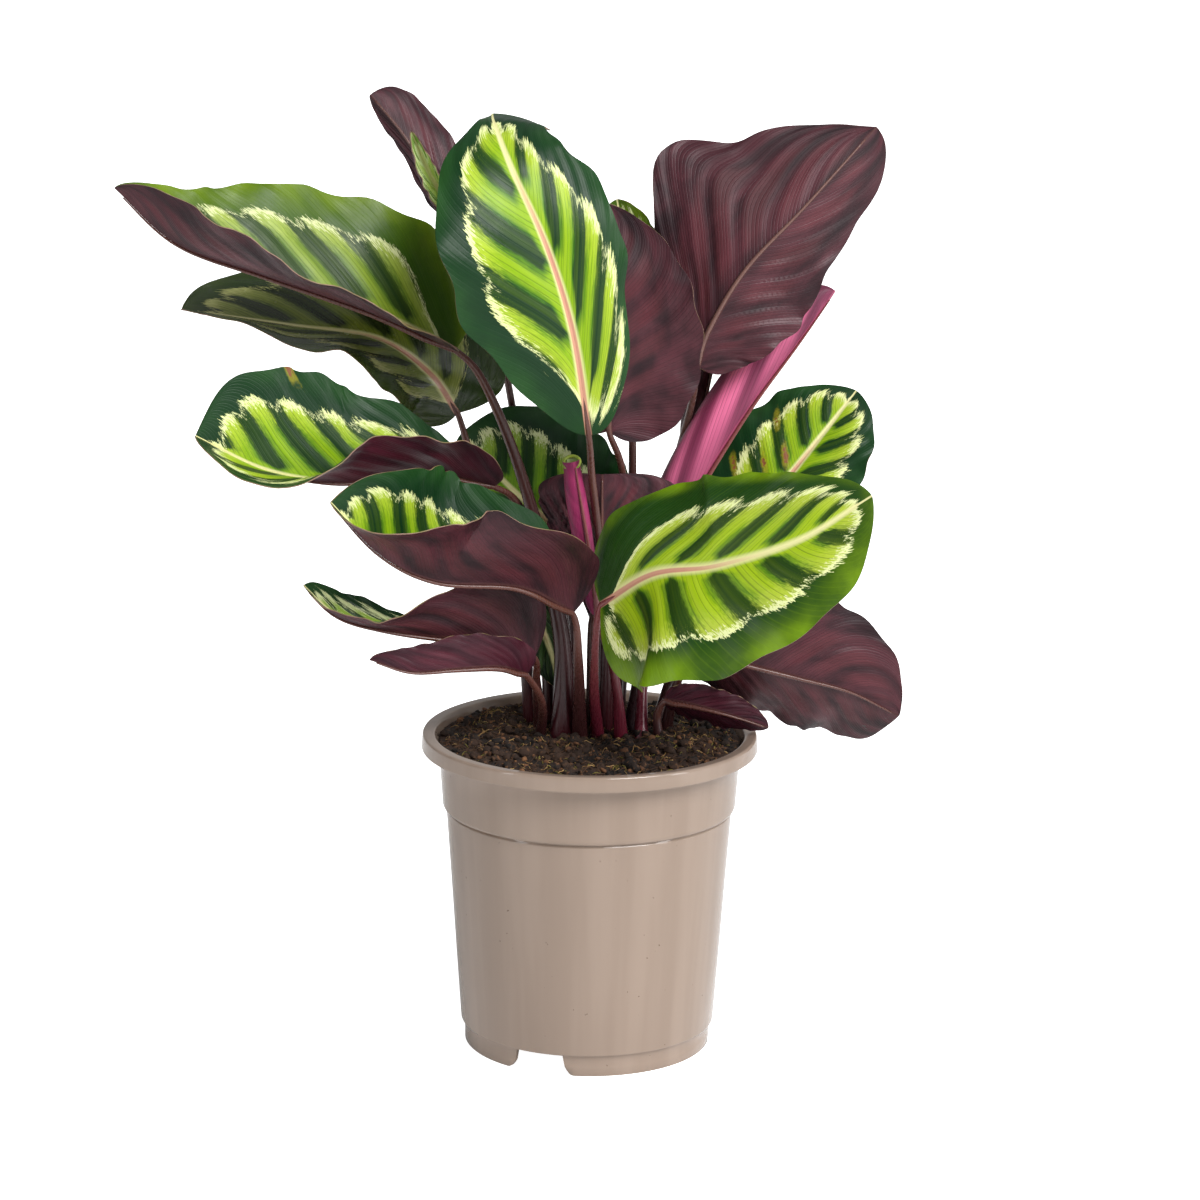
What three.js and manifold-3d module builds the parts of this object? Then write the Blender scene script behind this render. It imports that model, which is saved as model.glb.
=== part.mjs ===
// A calathea in a plastic nursery pot, as an assembly of separate solids.
//
// Millimetres, +Z up, and the front faces -Y. All sizes and places are given from the pot's
// axis, in the plane that the pot stands on. At the end the whole is moved sideways until
// the origin lies under the middle of its outline. One solid is the pot, one is the soil,
// and each leaf, with the stalk that it grew with, is one solid that stands in a plain hole
// in the soil. A blade is a thin sheet that is bent round its rib by a formula.

import * as THREE from 'three'
import { mergeVertices } from 'three/addons/utils/BufferGeometryUtils.js'
import Module from 'manifold-3d'

// ---------------------------------------------------------------- driving sizes

const GAP = 0.35 // clearance between neighbours that touch on the real thing

const POT = {
  height: 162,
  rimRadius: 85,
  rimDepth: 8, // height of the rim's outer face
  rimChamfer: 1.2,
  rimInnerRadius: 78,
  bandRadius: 76.3, // band under the rim, where it meets the rim
  bandFootRadius: 74.3,
  bandFootHeight: 125,
  stepHeight: 121, // lower end of the chamfer under the band
  stepRadius: 72.3,
  bodyFootRadius: 64.5,
  footHeight: 10.8, // foot ring under the body
  footRadius: 62.5,
  footWall: 2.4,
  footStep: 0.4, // height over which the body widens above the foot ring
  wall: 1.8,
  floor: 2.2,
  sides: 48,
}

const FOOT_NOTCH = {
  count: 3,
  width: 27, // along the foot ring
  firstAngle: -22.4, // degrees from the front, towards +X
  cornerRadius: 5,
  cornerSteps: 4,
}

const DRAIN = { count: 6, radius: 4, circle: 42, sides: 12 }

const SOIL = {
  edgeHeight: 157,
  heap: 4.5, // how much higher the middle is
  lump: 1.1, // rise and fall of the crumbs
  lumpLengths: [5.3, 6.1, 3.7], // of the three waves that they follow
  rings: 5,
  sides: 32,
}

const BLADE = {
  thickness: 0.8,
  ribSteps: 10,
  halfSteps: 3,
  round: [[0.5, 0.62], [0.5, 0.62]], // exponents of the outline, for a leaf that gives none
  trim: [[1, 1], [1, 1]],
  lobe: [0.3, 0.3], // share of the width by which the base's corners reach back
  leastBend: 1e-3, // radians; below this a half is as good as flat
  probe: 1e-3, // share of the sheet over which its slope is measured
  ends: [0.02, 0.98], // shares of the length between which the slope is measured
}

const STALK = {
  sides: 8,
  step: 34, // length of one straight piece of stalk
  leastSteps: 8,
  bottom: 138, // height of a stalk's lower end, in its hole in the soil
  rise: 158, // height up to which a stalk stands upright
  tipRadius: 1.5, // where it has become the rib, under the blade
  ribReach: 0.3, // share of the blade's length that the thick rib runs
}

const FINISHES = {
  pot: { color: 0xb3a394, roughness: 0.35 },
  soil: { color: 0x3d2a1e, roughness: 0.95 },
  green: { color: 0x4f8a2a, roughness: 0.35 },
  purple: { color: 0x4a2430, roughness: 0.45 },
  pink: { color: 0xa8325f, roughness: 0.45 },
}

// Each leaf is given by a few hand-placed points and angles:
//   finish    of the side that is seen from the front
//   foot      where its stalk leaves the soil, and the stalk's radius there
//   stalk     points that the stalk bends through on its way to the blade
//   rib       points of the blade's middle line, from its base to its tip
//   width     greatest half width, left and right of the rib (tip up, top side seen)
//   round     how soon each half's outline widens, at the base and at the tip
//   trim      shares by which each half is wider or narrower than that, from base to tip
//   lobe      how far the corners beside the stalk reach back, left and right
//   top       directions that the top side faces, from base to tip
//   fold      angles by which the left and the right half rise from flat, from base to tip
//   curl      further bends from the rib to the edge, left and right, from base to tip
//   wave      height and number of the waves along the edge
const LEAVES = [
  {
    name: 'leaf_top_centre',
    finish: 'green',
    foot: [7, 6, 3.4],
    stalk: [[8, 3, 215], [5, 0, 250], [0, -14, 295]],
    rib: [
      [-2, -28, 321], [-10, -38, 373], [-23, -42, 416],
      [-40, -34, 452], [-49, -14, 471], [-51, 6, 474],
    ],
    width: [55, 40],
    round: [[0.8, 1.4], [0.5, 0.4]],
    trim: [[0.7, 0.8, 0.95, 1, 0.92, 0.5, 0.4], [1, 0.95, 1, 0.68, 1.3]],
    top: [[0.3, -1, 0.1], [0.1, -0.7, 0.9]],
    fold: { left: [14, 8], right: [14, 8] },
    curl: { left: [-16, -30], right: [-24, -30] },
    wave: [2, 3],
  },
  {
    name: 'leaf_upper_left',
    finish: 'green',
    foot: [-14, -5, 4.6],
    stalk: [[-15, -3, 215], [-34, 0, 290], [-53, -6, 340]],
    rib: [[-68, -10, 359], [-108, -24, 380], [-159, -38, 400], [-201, -48, 417], [-230, -55, 445]],
    width: [38, 52],
    round: [[0.6, 0.6], [0.42, 0.7]],
    trim: [[1, 1], [1.15, 1.1, 1, 0.9, 0.95]],
    top: [[0.35, 0.05, 1], [0.45, -0.1, 1]],
    fold: { left: [4, 8, 20, 44, 62], right: [56, 54, 52] },
    curl: { left: [10, 10], right: [12, -10] },
    wave: [2, 4],
  },
  {
    name: 'leaf_left_second',
    finish: 'green',
    foot: [-30, 22, 3],
    stalk: [[-38, 20, 230], [-58, 18, 290]],
    rib: [[-68, 22, 321], [-82, 18, 342], [-108, 14, 360], [-150, 14, 366], [-206, 22, 372]],
    width: [34, 46],
    round: [[0.5, 0.5], [0.45, 0.4]],
    trim: [[1, 0.85, 0.9, 1, 1], [1, 1]],
    top: [[-0.3, -1, 0.4], [0, -0.1, 1]],
    fold: { left: [20, 25], right: [15, 22] },
    curl: { left: [-10, -10], right: [-10, 10] },
    wave: [3, 4],
  },
  {
    name: 'leaf_left_middle',
    finish: 'green',
    foot: [-15, 14, 3.2],
    stalk: [[-14, 12, 215], [-23, 9, 250], [-37, 3, 279]],
    rib: [
      [-49, -8, 290], [-74, -24, 300], [-95, -38, 303],
      [-123, -52, 301], [-158, -66, 310], [-191, -74, 328],
    ],
    width: [36, 52],
    round: [[0.25, 0.4], [0.7, 0.26]],
    trim: [[0.6, 0.9, 1, 1, 1.1], [0.55, 0.65, 0.9, 1, 1]],
    lobe: [0, 0.3],
    top: [[0.1, -0.1, 1], [0.3, -0.2, 1]],
    fold: { left: [40, 45, 46, 54, 0, 0], right: [62, 62] },
    curl: { left: [10, 10], right: [0, 0] },
    wave: [2, 3],
  },
  {
    name: 'leaf_left_lower',
    finish: 'purple',
    foot: [-5, -8, 4],
    stalk: [[-6, -24, 205]],
    rib: [[-9, -34, 232], [-35, -50, 249], [-75, -64, 255], [-102, -80, 272], [-125, -92, 300]],
    width: [46, 54],
    round: [[0.5, 0.62], [0.8, 0.5]],
    trim: [[1, 0.95, 1.1, 1.05, 1], [1, 1]],
    top: [[0, 0, 1], [0.5, -0.2, 1]],
    fold: { left: [75, 58, 62, 50, 0], right: [58, 60] },
    curl: { left: [10, 10], right: [10, 10] },
    wave: [2, 3],
  },
  {
    name: 'leaf_left_low',
    finish: 'purple',
    foot: [-25, 9, 3.4],
    stalk: [[-27, -8, 190]],
    rib: [
      [-28, -22, 206], [-45, -34, 218], [-72, -46, 222],
      [-102, -54, 228], [-124, -60, 236], [-140, -64, 252],
    ],
    width: [34, 24],
    round: [[0.4, 1.2], [0.5, 0.6]],
    trim: [[1, 1], [0.7, 0.5, 0.5, 0.8, 1]],
    top: [[0, 0.3, 1], [0.4, -0.1, 1]],
    fold: { left: [92, 84, 62, 28, 15, -10], right: [40, 35] },
    curl: { left: [10, 10], right: [10, 10] },
    wave: [2, 3],
  },
  {
    name: 'leaf_left_lowest',
    finish: 'purple',
    foot: [-25, -3, 2.6],
    stalk: [[-24, -19, 182]],
    rib: [[-32, -33, 200], [-45, -42, 206], [-66, -50, 207], [-88, -56, 207], [-108, -60, 214]],
    width: [18, 14],
    round: [[0.4, 0.6], [0.6, 0.5]],
    trim: [[1, 1], [1, 0.8, 0.9, 1.2, 1.2]],
    top: [[-0.1, 1, 0.5], [0, 1, 0.5]],
    fold: { left: [10, 20], right: [55, 50] },
    curl: { left: [10, 10], right: [10, 10] },
    wave: [2, 3],
  },
  {
    name: 'leaf_front_right',
    finish: 'green',
    foot: [4, -4, 3.4],
    stalk: [[2, -20, 195]],
    rib: [[5, -36, 237], [30, -58, 258], [61, -76, 267], [100, -88, 283], [134, -92, 306]],
    width: [46, 58],
    round: [[0.5, 0.6], [0.42, 0.7]],
    lobe: [0.2, 0.4],
    top: [[-0.2, -1, 0.6], [0, -1, 0.7]],
    fold: { left: [14, 10], right: [4, 8] },
    curl: { left: [-20, -20], right: [-10, -20] },
    wave: [1.5, 3],
  },
  {
    name: 'leaf_right_back',
    finish: 'green',
    foot: [34, 22, 3],
    stalk: [[50, 40, 205]],
    rib: [[76, 54, 246], [93, 64, 270], [109, 74, 289], [123, 84, 305], [136, 94, 320]],
    width: [42, 34],
    top: [[-0.4, -1, 0.6], [-0.2, -1, 0.8]],
    fold: { left: [10, 10], right: [10, 10] },
    curl: { left: [-20, -20], right: [-20, -20] },
    wave: [2, 3],
  },
  {
    name: 'leaf_tall_right',
    finish: 'purple',
    foot: [22, 14, 3.4],
    stalk: [[28, 26, 200], [35, 48, 248], [42, 58, 285], [50, 48, 322]],
    rib: [[52, 28, 345], [58, 28, 364], [76, 32, 394], [105, 42, 424], [141, 60, 462]],
    width: [41, 68],
    round: [[0.35, 0.45], [1.4, 1.1]],
    trim: [[0.6, 0.75, 1, 0.85, 1], [1, 0.9, 0.75, 0.7, 0.84, 1.1, 0.94, 1.05, 1.3]],
    top: [[0.2, 1, -0.1], [0.3, 1, 0.1]],
    fold: { left: [25, 25], right: [5, 5] },
    curl: { left: [-10, -10], right: [-10, 10] },
    wave: [2, 3],
  },
  {
    name: 'leaf_tall_centre',
    finish: 'purple',
    foot: [12, 18, 3.2],
    stalk: [[14, 24, 215], [17, 24, 255], [15, 24, 292]],
    rib: [[8, 6, 316], [6, 6, 344], [4, 8, 372], [3, 14, 400], [2, 26, 428]],
    width: [50, 36],
    round: [[0.7, 0.7], [0.5, 0.6]],
    trim: [[0.55, 0.85, 1, 1, 1], [1, 1]],
    lobe: [1.4, 0.3],
    top: [[-0.2, 1, 0.1], [0, 1, 0.2]],
    fold: { left: [15, 10], right: [15, 15] },
    curl: { left: [-20, -20], right: [-20, -20] },
    wave: [2, 3],
  },
  {
    name: 'leaf_top_left',
    finish: 'purple',
    foot: [-10, 31, 3],
    stalk: [[-14, 42, 250], [-24, 44, 310]],
    rib: [[-32, 38, 361], [-54, 44, 396], [-77, 54, 427], [-97, 64, 455], [-114, 72, 474]],
    width: [22, 9],
    round: [[0.5, 0.3], [0.5, 0.5]],
    top: [[-0.2, 1, 0.1], [-0.2, 1, 0.1]],
    fold: { left: [20, 20], right: [25, 25] },
    curl: { left: [20, 20], right: [20, 20] },
    wave: [1.5, 3],
  },
  {
    name: 'leaf_half_open',
    finish: 'purple',
    foot: [-20, 33, 2.4],
    stalk: [[-30, 46, 250], [-46, 36, 350]],
    rib: [[-56, 24, 392], [-64, 25, 408], [-73, 28, 425], [-83, 34, 441], [-92, 40, 460]],
    width: [14, 14],
    top: [[0, -1, 0.1], [0, -1, 0.1]],
    fold: { left: [20, 20], right: [20, 20] },
    curl: { left: [90, 90], right: [90, 90] },
    wave: [0, 3],
  },
  {
    name: 'leaf_middle_back',
    finish: 'green',
    foot: [0, 20, 3.2],
    stalk: [[3, 27, 200]],
    rib: [[6, 32, 238], [-8, 32, 252], [-26, 32, 267], [-46, 34, 285], [-66, 36, 308]],
    width: [38, 50],
    round: [[0.5, 0.62], [0.5, 0.35]],
    top: [[0, -1, 0.15], [-0.1, -1, 0.15]],
    fold: { left: [10, 10], right: [10, 10] },
    curl: { left: [-10, -10], right: [-10, -10] },
    wave: [2, 3],
  },
  {
    name: 'leaf_middle_dark',
    finish: 'purple',
    foot: [1, 12, 2.8],
    stalk: [[0, 12, 185]],
    rib: [[0, 12, 215], [3, 12, 236], [5, 11, 256], [5, 12, 275], [5, 14, 292]],
    width: [40, 34],
    round: [[1.2, 0.25], [1.2, 0.25]],
    top: [[0, 1, 0.1], [0, 1, 0.1]],
    fold: { left: [15, 15], right: [15, 15] },
    curl: { left: [10, 10], right: [10, 10] },
    wave: [2, 3],
  },
  {
    name: 'leaf_right_low',
    finish: 'purple',
    foot: [38, 8, 3.2],
    stalk: [[45, 4, 190]],
    rib: [[55, 0, 204], [80, 2, 197], [106, 4, 190], [132, 8, 182], [157, 14, 168]],
    width: [39, 46],
    round: [[0.4, 0.15], [0.5, 0.7]],
    top: [[0.2, 1, 0.3], [0.3, 1, 0.2]],
    fold: { left: [15, 15], right: [15, 15] },
    curl: { left: [10, 10], right: [10, 10] },
    wave: [2, 3],
  },
  {
    name: 'leaf_over_rim',
    finish: 'purple',
    foot: [35, -4, 2.4],
    stalk: [[34, -4, 172]],
    rib: [[38, -6, 180], [48, -7, 179], [62, -8, 176], [76, -8, 172], [90, -7, 167]],
    width: [14, 12],
    top: [[0.1, 1, 0.6], [0.2, 1, 0.3]],
    fold: { left: [15, 15], right: [15, 15] },
    curl: { left: [10, 10], right: [10, 10] },
    wave: [1, 3],
  },
  {
    name: 'leaf_hanging_dark',
    finish: 'purple',
    foot: [-21, 22, 2.8],
    stalk: [[-23, 22, 198], [-31, 22, 230]],
    rib: [[-32, 15, 238], [-29, 8, 228], [-24, 6, 213], [-19, 5, 199], [-16, 5, 184]],
    width: [11, 14],
    top: [[0, -1, 0.3], [0, -1, 0]],
    fold: { left: [15, 15], right: [15, 15] },
    curl: { left: [10, 10], right: [10, 10] },
    wave: [1, 3],
  },
  {
    name: 'leaf_young_back',
    finish: 'green',
    foot: [14, 33, 2.8],
    stalk: [[20, 44, 240], [20, 52, 320]],
    rib: [[20, 54, 350], [19, 55, 370], [17, 56, 390], [14, 58, 408], [11, 60, 424]],
    width: [22, 22],
    top: [[0, -1, 0.1], [0, -1, 0.1]],
    fold: { left: [20, 20], right: [20, 20] },
    curl: { left: [10, 10], right: [10, 10] },
    wave: [1, 3],
  },
  {
    name: 'rolled_leaf_front',
    finish: 'pink',
    foot: [16, -5, 3.4],
    stalk: [[12, -10, 195]],
    rib: [[3, -13, 226], [0, -14, 248], [-3, -15, 268], [-6, -16, 286], [-9, -17, 305]],
    width: [13, 13],
    round: [[0.3, 0.2], [0.3, 0.2]],
    top: [[-0.4, 1, 0.1], [-0.4, 1, 0.1]],
    fold: { left: [10, 10], right: [10, 10] },
    curl: { left: [150, 150], right: [150, 150] },
    wave: [0, 3],
  },
  {
    name: 'rolled_leaf_right',
    finish: 'pink',
    foot: [26, -2, 3.6],
    stalk: [[27, 14, 198]],
    rib: [[33, 31, 246], [54, 37, 281], [79, 46, 320], [103, 54, 352], [122, 62, 378]],
    width: [27, 27],
    round: [[0.35, 0.35], [0.35, 0.35]],
    top: [[-0.8, 0.6, 0.4], [-0.8, 0.6, 0.4]],
    fold: { left: [10, 10], right: [10, 10] },
    curl: { left: [145, 145], right: [145, 145] },
    wave: [0, 3],
  },
  {
    name: 'rolled_leaf_dark',
    finish: 'purple',
    foot: [24, 27, 2.8],
    stalk: [[34, 50, 215]],
    rib: [[50, 68, 282], [53, 67, 304], [57, 64, 324], [61, 61, 344], [64, 58, 364]],
    width: [13, 13],
    round: [[0.45, 0.35], [0.45, 0.35]],
    top: [[-0.8, 0.6, 0.4], [-0.8, 0.6, 0.4]],
    fold: { left: [10, 10], right: [10, 10] },
    curl: { left: [145, 145], right: [145, 145] },
    wave: [0, 3],
  },
]

// ---------------------------------------------------------------- solids

const wasm = await Module()
wasm.setup()

/** A closed three.js geometry as a solid that can be cut and joined. */
function toSolid(geometry) {
  const bare = geometry.clone()
  bare.deleteAttribute('normal')
  bare.deleteAttribute('uv')
  const merged = mergeVertices(bare, 1e-4)
  const triVerts = new Uint32Array(merged.index.array)
  const vertProperties = new Float32Array(merged.attributes.position.array)
  const mesh = new wasm.Mesh({ numProp: 3, vertProperties, triVerts })
  mesh.merge()
  return new wasm.Manifold(mesh)
}

/** A cut or joined solid back as a three.js geometry. */
function toGeometry(solid) {
  const mesh = solid.getMesh()
  const geometry = new THREE.BufferGeometry()
  geometry.setAttribute('position', new THREE.BufferAttribute(mesh.vertProperties, 3))
  geometry.setIndex(new THREE.BufferAttribute(mesh.triVerts, 1))
  geometry.computeVertexNormals()
  return geometry
}

/** A solid of revolution about +Z from [radius, height] pairs that start and end on the axis. */
function lathe(profile, sides) {
  const points = profile.map(([radius, height]) => new THREE.Vector2(radius, height))
  return new THREE.LatheGeometry(points, sides).rotateX(Math.PI / 2)
}

/** One named sub-part with a finish of its own. */
function part(name, solid, finish) {
  const material = new THREE.MeshStandardMaterial({ ...FINISHES[finish], metalness: 0 })
  const mesh = new THREE.Mesh(toGeometry(solid), material)
  mesh.name = name
  return mesh
}

// ---------------------------------------------------------------- pot

/** A block that cuts one rounded notch out of the foot ring, at an angle from the front. */
function notchBlock(angle) {
  const half = FOOT_NOTCH.width / 2
  const below = -FOOT_NOTCH.cornerRadius
  const outline = new THREE.Shape()
  outline.moveTo(-half, POT.footHeight)
  outline.lineTo(-half, FOOT_NOTCH.cornerRadius)
  outline.quadraticCurveTo(-half, 0, -half - FOOT_NOTCH.cornerRadius, 0)
  outline.lineTo(-half - FOOT_NOTCH.cornerRadius, below)
  outline.lineTo(half + FOOT_NOTCH.cornerRadius, below)
  outline.lineTo(half + FOOT_NOTCH.cornerRadius, 0)
  outline.quadraticCurveTo(half, 0, half, FOOT_NOTCH.cornerRadius)
  outline.lineTo(half, POT.footHeight)
  const reach = POT.footWall * 4
  const block = new THREE.ExtrudeGeometry(outline, {
    depth: reach,
    bevelEnabled: false,
    curveSegments: FOOT_NOTCH.cornerSteps,
  })
  block.rotateX(Math.PI / 2)
  block.translate(0, -POT.footRadius + reach / 2, 0)
  return block.rotateZ(THREE.MathUtils.degToRad(angle))
}

function makePot() {
  const { wall, floor, rimChamfer: chamfer } = POT
  const innerFootRadius = POT.bodyFootRadius - wall
  const underside = [
    [0, POT.footHeight],
    [POT.footRadius - POT.footWall, POT.footHeight],
    [POT.footRadius - POT.footWall, 0],
    [POT.footRadius, 0],
    [POT.footRadius, POT.footHeight],
  ]
  const outside = [
    [POT.bodyFootRadius, POT.footHeight + POT.footStep],
    [POT.stepRadius, POT.stepHeight],
    [POT.bandFootRadius, POT.bandFootHeight],
    [POT.bandRadius, POT.height - POT.rimDepth],
    [POT.rimRadius - chamfer, POT.height - POT.rimDepth],
    [POT.rimRadius, POT.height - POT.rimDepth + chamfer],
    [POT.rimRadius - chamfer / 2, POT.height - chamfer],
    [POT.rimRadius - 1.5 * chamfer, POT.height],
  ]
  const inside = [
    [POT.rimInnerRadius, POT.height - chamfer / 2],
    [POT.bandRadius - wall, POT.height - POT.rimDepth],
    [POT.bandFootRadius - wall, POT.bandFootHeight],
    [POT.stepRadius - wall, POT.stepHeight],
    [innerFootRadius, POT.footHeight + floor],
    [0, POT.footHeight + floor],
  ]
  let pot = toSolid(lathe([...underside, ...outside, ...inside], POT.sides))
  for (let i = 0; i < FOOT_NOTCH.count; i += 1) {
    const angle = FOOT_NOTCH.firstAngle + (i * 360) / FOOT_NOTCH.count
    pot = pot.subtract(toSolid(notchBlock(angle)))
  }
  for (let i = 0; i < DRAIN.count; i += 1) {
    const angle = (i * 2 * Math.PI) / DRAIN.count
    const drain = new THREE.CylinderGeometry(DRAIN.radius, DRAIN.radius, floor * 3, DRAIN.sides)
    drain.rotateX(Math.PI / 2)
    const [x, y] = [DRAIN.circle * Math.cos(angle), DRAIN.circle * Math.sin(angle)]
    drain.translate(x, y, POT.footHeight + floor / 2)
    pot = pot.subtract(toSolid(drain))
  }
  return part('pot', pot, 'pot')
}

// ---------------------------------------------------------------- leaves

/** A smooth curve through hand-placed points. */
function curveThrough(points) {
  const vectors = points.map((point) => new THREE.Vector3(...point))
  return new THREE.CatmullRomCurve3(vectors, false, 'catmullrom', 0.5)
}

/** The value at the share u of a row of values that are spread evenly from base to tip. */
function spread(values, u) {
  return curveThrough(values.map((value, i) => [i, value, 0])).getPoint(u).y
}

/** Width of one half of a blade at the share u of its length. */
function halfWidth(leaf, half, u) {
  const [base, tip] = (leaf.round ?? BLADE.round)[half]
  const widest = base / (base + tip)
  const outline = (u / widest) ** base * ((1 - u) / (1 - widest)) ** tip
  return leaf.width[half] * outline * spread((leaf.trim ?? BLADE.trim)[half], u)
}

/** A point of a leaf's sheet: u runs from base to tip, v from the left edge to the right one. */
function bladePoint(leaf, rib, u, v) {
  const along = rib.getTangent(u)
  const top = curveThrough(leaf.top).getPoint(u)
  top.addScaledVector(along, -top.dot(along)).normalize()
  const aside = new THREE.Vector3().crossVectors(along, top)
  const half = v < 0 ? 0 : 1
  const side = ['left', 'right'][half]
  const sign = 2 * half - 1
  const width = halfWidth(leaf, half, u)
  const start = THREE.MathUtils.degToRad(spread(leaf.fold[side], u))
  const asked = THREE.MathUtils.degToRad(spread(leaf.curl[side], u))
  const bend = Math.abs(asked) < BLADE.leastBend ? BLADE.leastBend : asked
  const end = start + bend * Math.abs(v)
  const out = (width / bend) * (Math.sin(end) - Math.sin(start))
  const up = (width / bend) * (Math.cos(start) - Math.cos(end))
  const [waveHeight, waves] = leaf.wave
  const swell = Math.sin(Math.PI * u) * v * v
  const wave = waveHeight * swell * Math.sin(2 * Math.PI * waves * u + sign)
  const back = (leaf.lobe ?? BLADE.lobe)[half] * width * v * v * (1 - u) ** 2
  return rib
    .getPoint(u)
    .addScaledVector(along, -back)
    .addScaledVector(aside, sign * (out - wave * Math.sin(end)))
    .addScaledVector(top, up + wave * Math.cos(end))
}

/** The direction in which the top side faces at a point of a leaf's sheet. */
function facing(leaf, rib, u, v) {
  const nearU = THREE.MathUtils.clamp(u, ...BLADE.ends)
  const nearV = THREE.MathUtils.clamp(v, -1, 1 - BLADE.probe)
  const here = bladePoint(leaf, rib, nearU, nearV)
  const alongU = bladePoint(leaf, rib, nearU + BLADE.probe, nearV).sub(here)
  const alongV = bladePoint(leaf, rib, nearU, nearV + BLADE.probe).sub(here)
  return new THREE.Vector3().crossVectors(alongV, alongU).normalize()
}

/** A blade: the sheet given its thickness, with both faces split into triangles alike. */
function bladeGeometry(leaf) {
  const rib = curveThrough(leaf.rib)
  const rows = BLADE.ribSteps
  const columns = 2 * BLADE.halfSteps
  const across = Array.from({ length: columns + 1 }, (_, j) => (2 * j) / columns - 1)
  const positions = []
  // A point where parts of the sheet meet at an angle goes the middle way between them.
  const addPoint = (u, v, meeting) => {
    const point = bladePoint(leaf, rib, u, v)
    const normal = new THREE.Vector3()
    for (const near of meeting) {
      normal.add(facing(leaf, rib, u, near))
    }
    normal.setLength(BLADE.thickness / 2)
    positions.push(...point.clone().add(normal), ...point.clone().sub(normal))
  }
  // point 0 is the base, then the rows between, then the tip
  addPoint(0, 0, across)
  for (let i = 1; i < rows; i += 1) {
    const u = (1 - Math.cos((Math.PI * i) / rows)) / 2
    for (const v of across) {
      addPoint(u, v, v === 0 ? [-BLADE.probe, 0] : [v])
    }
  }
  addPoint(1, 0, across)
  const lastPoint = positions.length / 6 - 1
  const at = (i, j) => {
    if (i === 0) return 0
    if (i === rows) return lastPoint
    return 1 + (i - 1) * (columns + 1) + j
  }
  const faces = []
  const addFace = (a, b, c) => {
    if (a === b || b === c || a === c) return
    faces.push(2 * a, 2 * b, 2 * c) // top
    faces.push(2 * a + 1, 2 * c + 1, 2 * b + 1) // underside
  }
  const addWall = (a, b) => {
    faces.push(2 * a, 2 * a + 1, 2 * b + 1)
    faces.push(2 * a, 2 * b + 1, 2 * b)
  }
  for (let i = 0; i < rows; i += 1) {
    for (let j = 0; j < columns; j += 1) {
      const corners = [at(i, j), at(i, j + 1), at(i + 1, j + 1), at(i + 1, j)]
      if (j < BLADE.halfSteps) {
        addFace(corners[0], corners[1], corners[3])
        addFace(corners[1], corners[2], corners[3])
      } else {
        addFace(corners[0], corners[1], corners[2])
        addFace(corners[0], corners[2], corners[3])
      }
    }
    addWall(at(i, columns), at(i + 1, columns))
    addWall(at(i + 1, 0), at(i, 0))
  }
  const geometry = new THREE.BufferGeometry()
  geometry.setAttribute('position', new THREE.Float32BufferAttribute(positions, 3))
  geometry.setIndex(faces)
  return geometry
}

/** A round rod along a curve, whose radius goes evenly from one end to the other. */
function taperedRod(curve, startRadius, endRadius) {
  const steps = Math.max(STALK.leastSteps, Math.round(curve.getLength() / STALK.step))
  const circle = new THREE.Shape()
  circle.absarc(0, 0, 1, 0, 2 * Math.PI, false)
  const rod = new THREE.ExtrudeGeometry(circle, {
    extrudePath: curve,
    steps,
    curveSegments: STALK.sides / 2, // a full circle is split twice as finely as asked
  })
  const centres = curve.getSpacedPoints(steps)
  const positions = rod.attributes.position
  const corner = new THREE.Vector3()
  for (let i = 0; i < positions.count; i += 1) {
    corner.fromBufferAttribute(positions, i)
    const distances = centres.map((centre) => centre.distanceTo(corner))
    const nearest = distances.indexOf(Math.min(...distances))
    const radius = startRadius + ((endRadius - startRadius) * nearest) / steps
    corner.sub(centres[nearest]).multiplyScalar(radius).add(centres[nearest])
    positions.setXYZ(i, corner.x, corner.y, corner.z)
  }
  return rod
}

/**
 * The curve of a leaf's stalk, from under the soil to the thick part of its rib. The hole
 * that it stands in goes deeper by a gap.
 */
function stalkCurve(leaf, deeper = 0) {
  const [x, y] = leaf.foot
  const rib = curveThrough(leaf.rib)
  const points = [[x, y, STALK.bottom - deeper], [x, y, STALK.rise], ...leaf.stalk, leaf.rib[0]]
  points.push(rib.getPoint(STALK.ribReach / 2).toArray())
  points.push(rib.getPoint(STALK.ribReach).toArray())
  return curveThrough(points)
}

function makeLeaf(leaf) {
  const stalk = taperedRod(stalkCurve(leaf), leaf.foot[2], STALK.tipRadius)
  return part(leaf.name, toSolid(bladeGeometry(leaf)).add(toSolid(stalk)), leaf.finish)
}

// ---------------------------------------------------------------- soil

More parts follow.
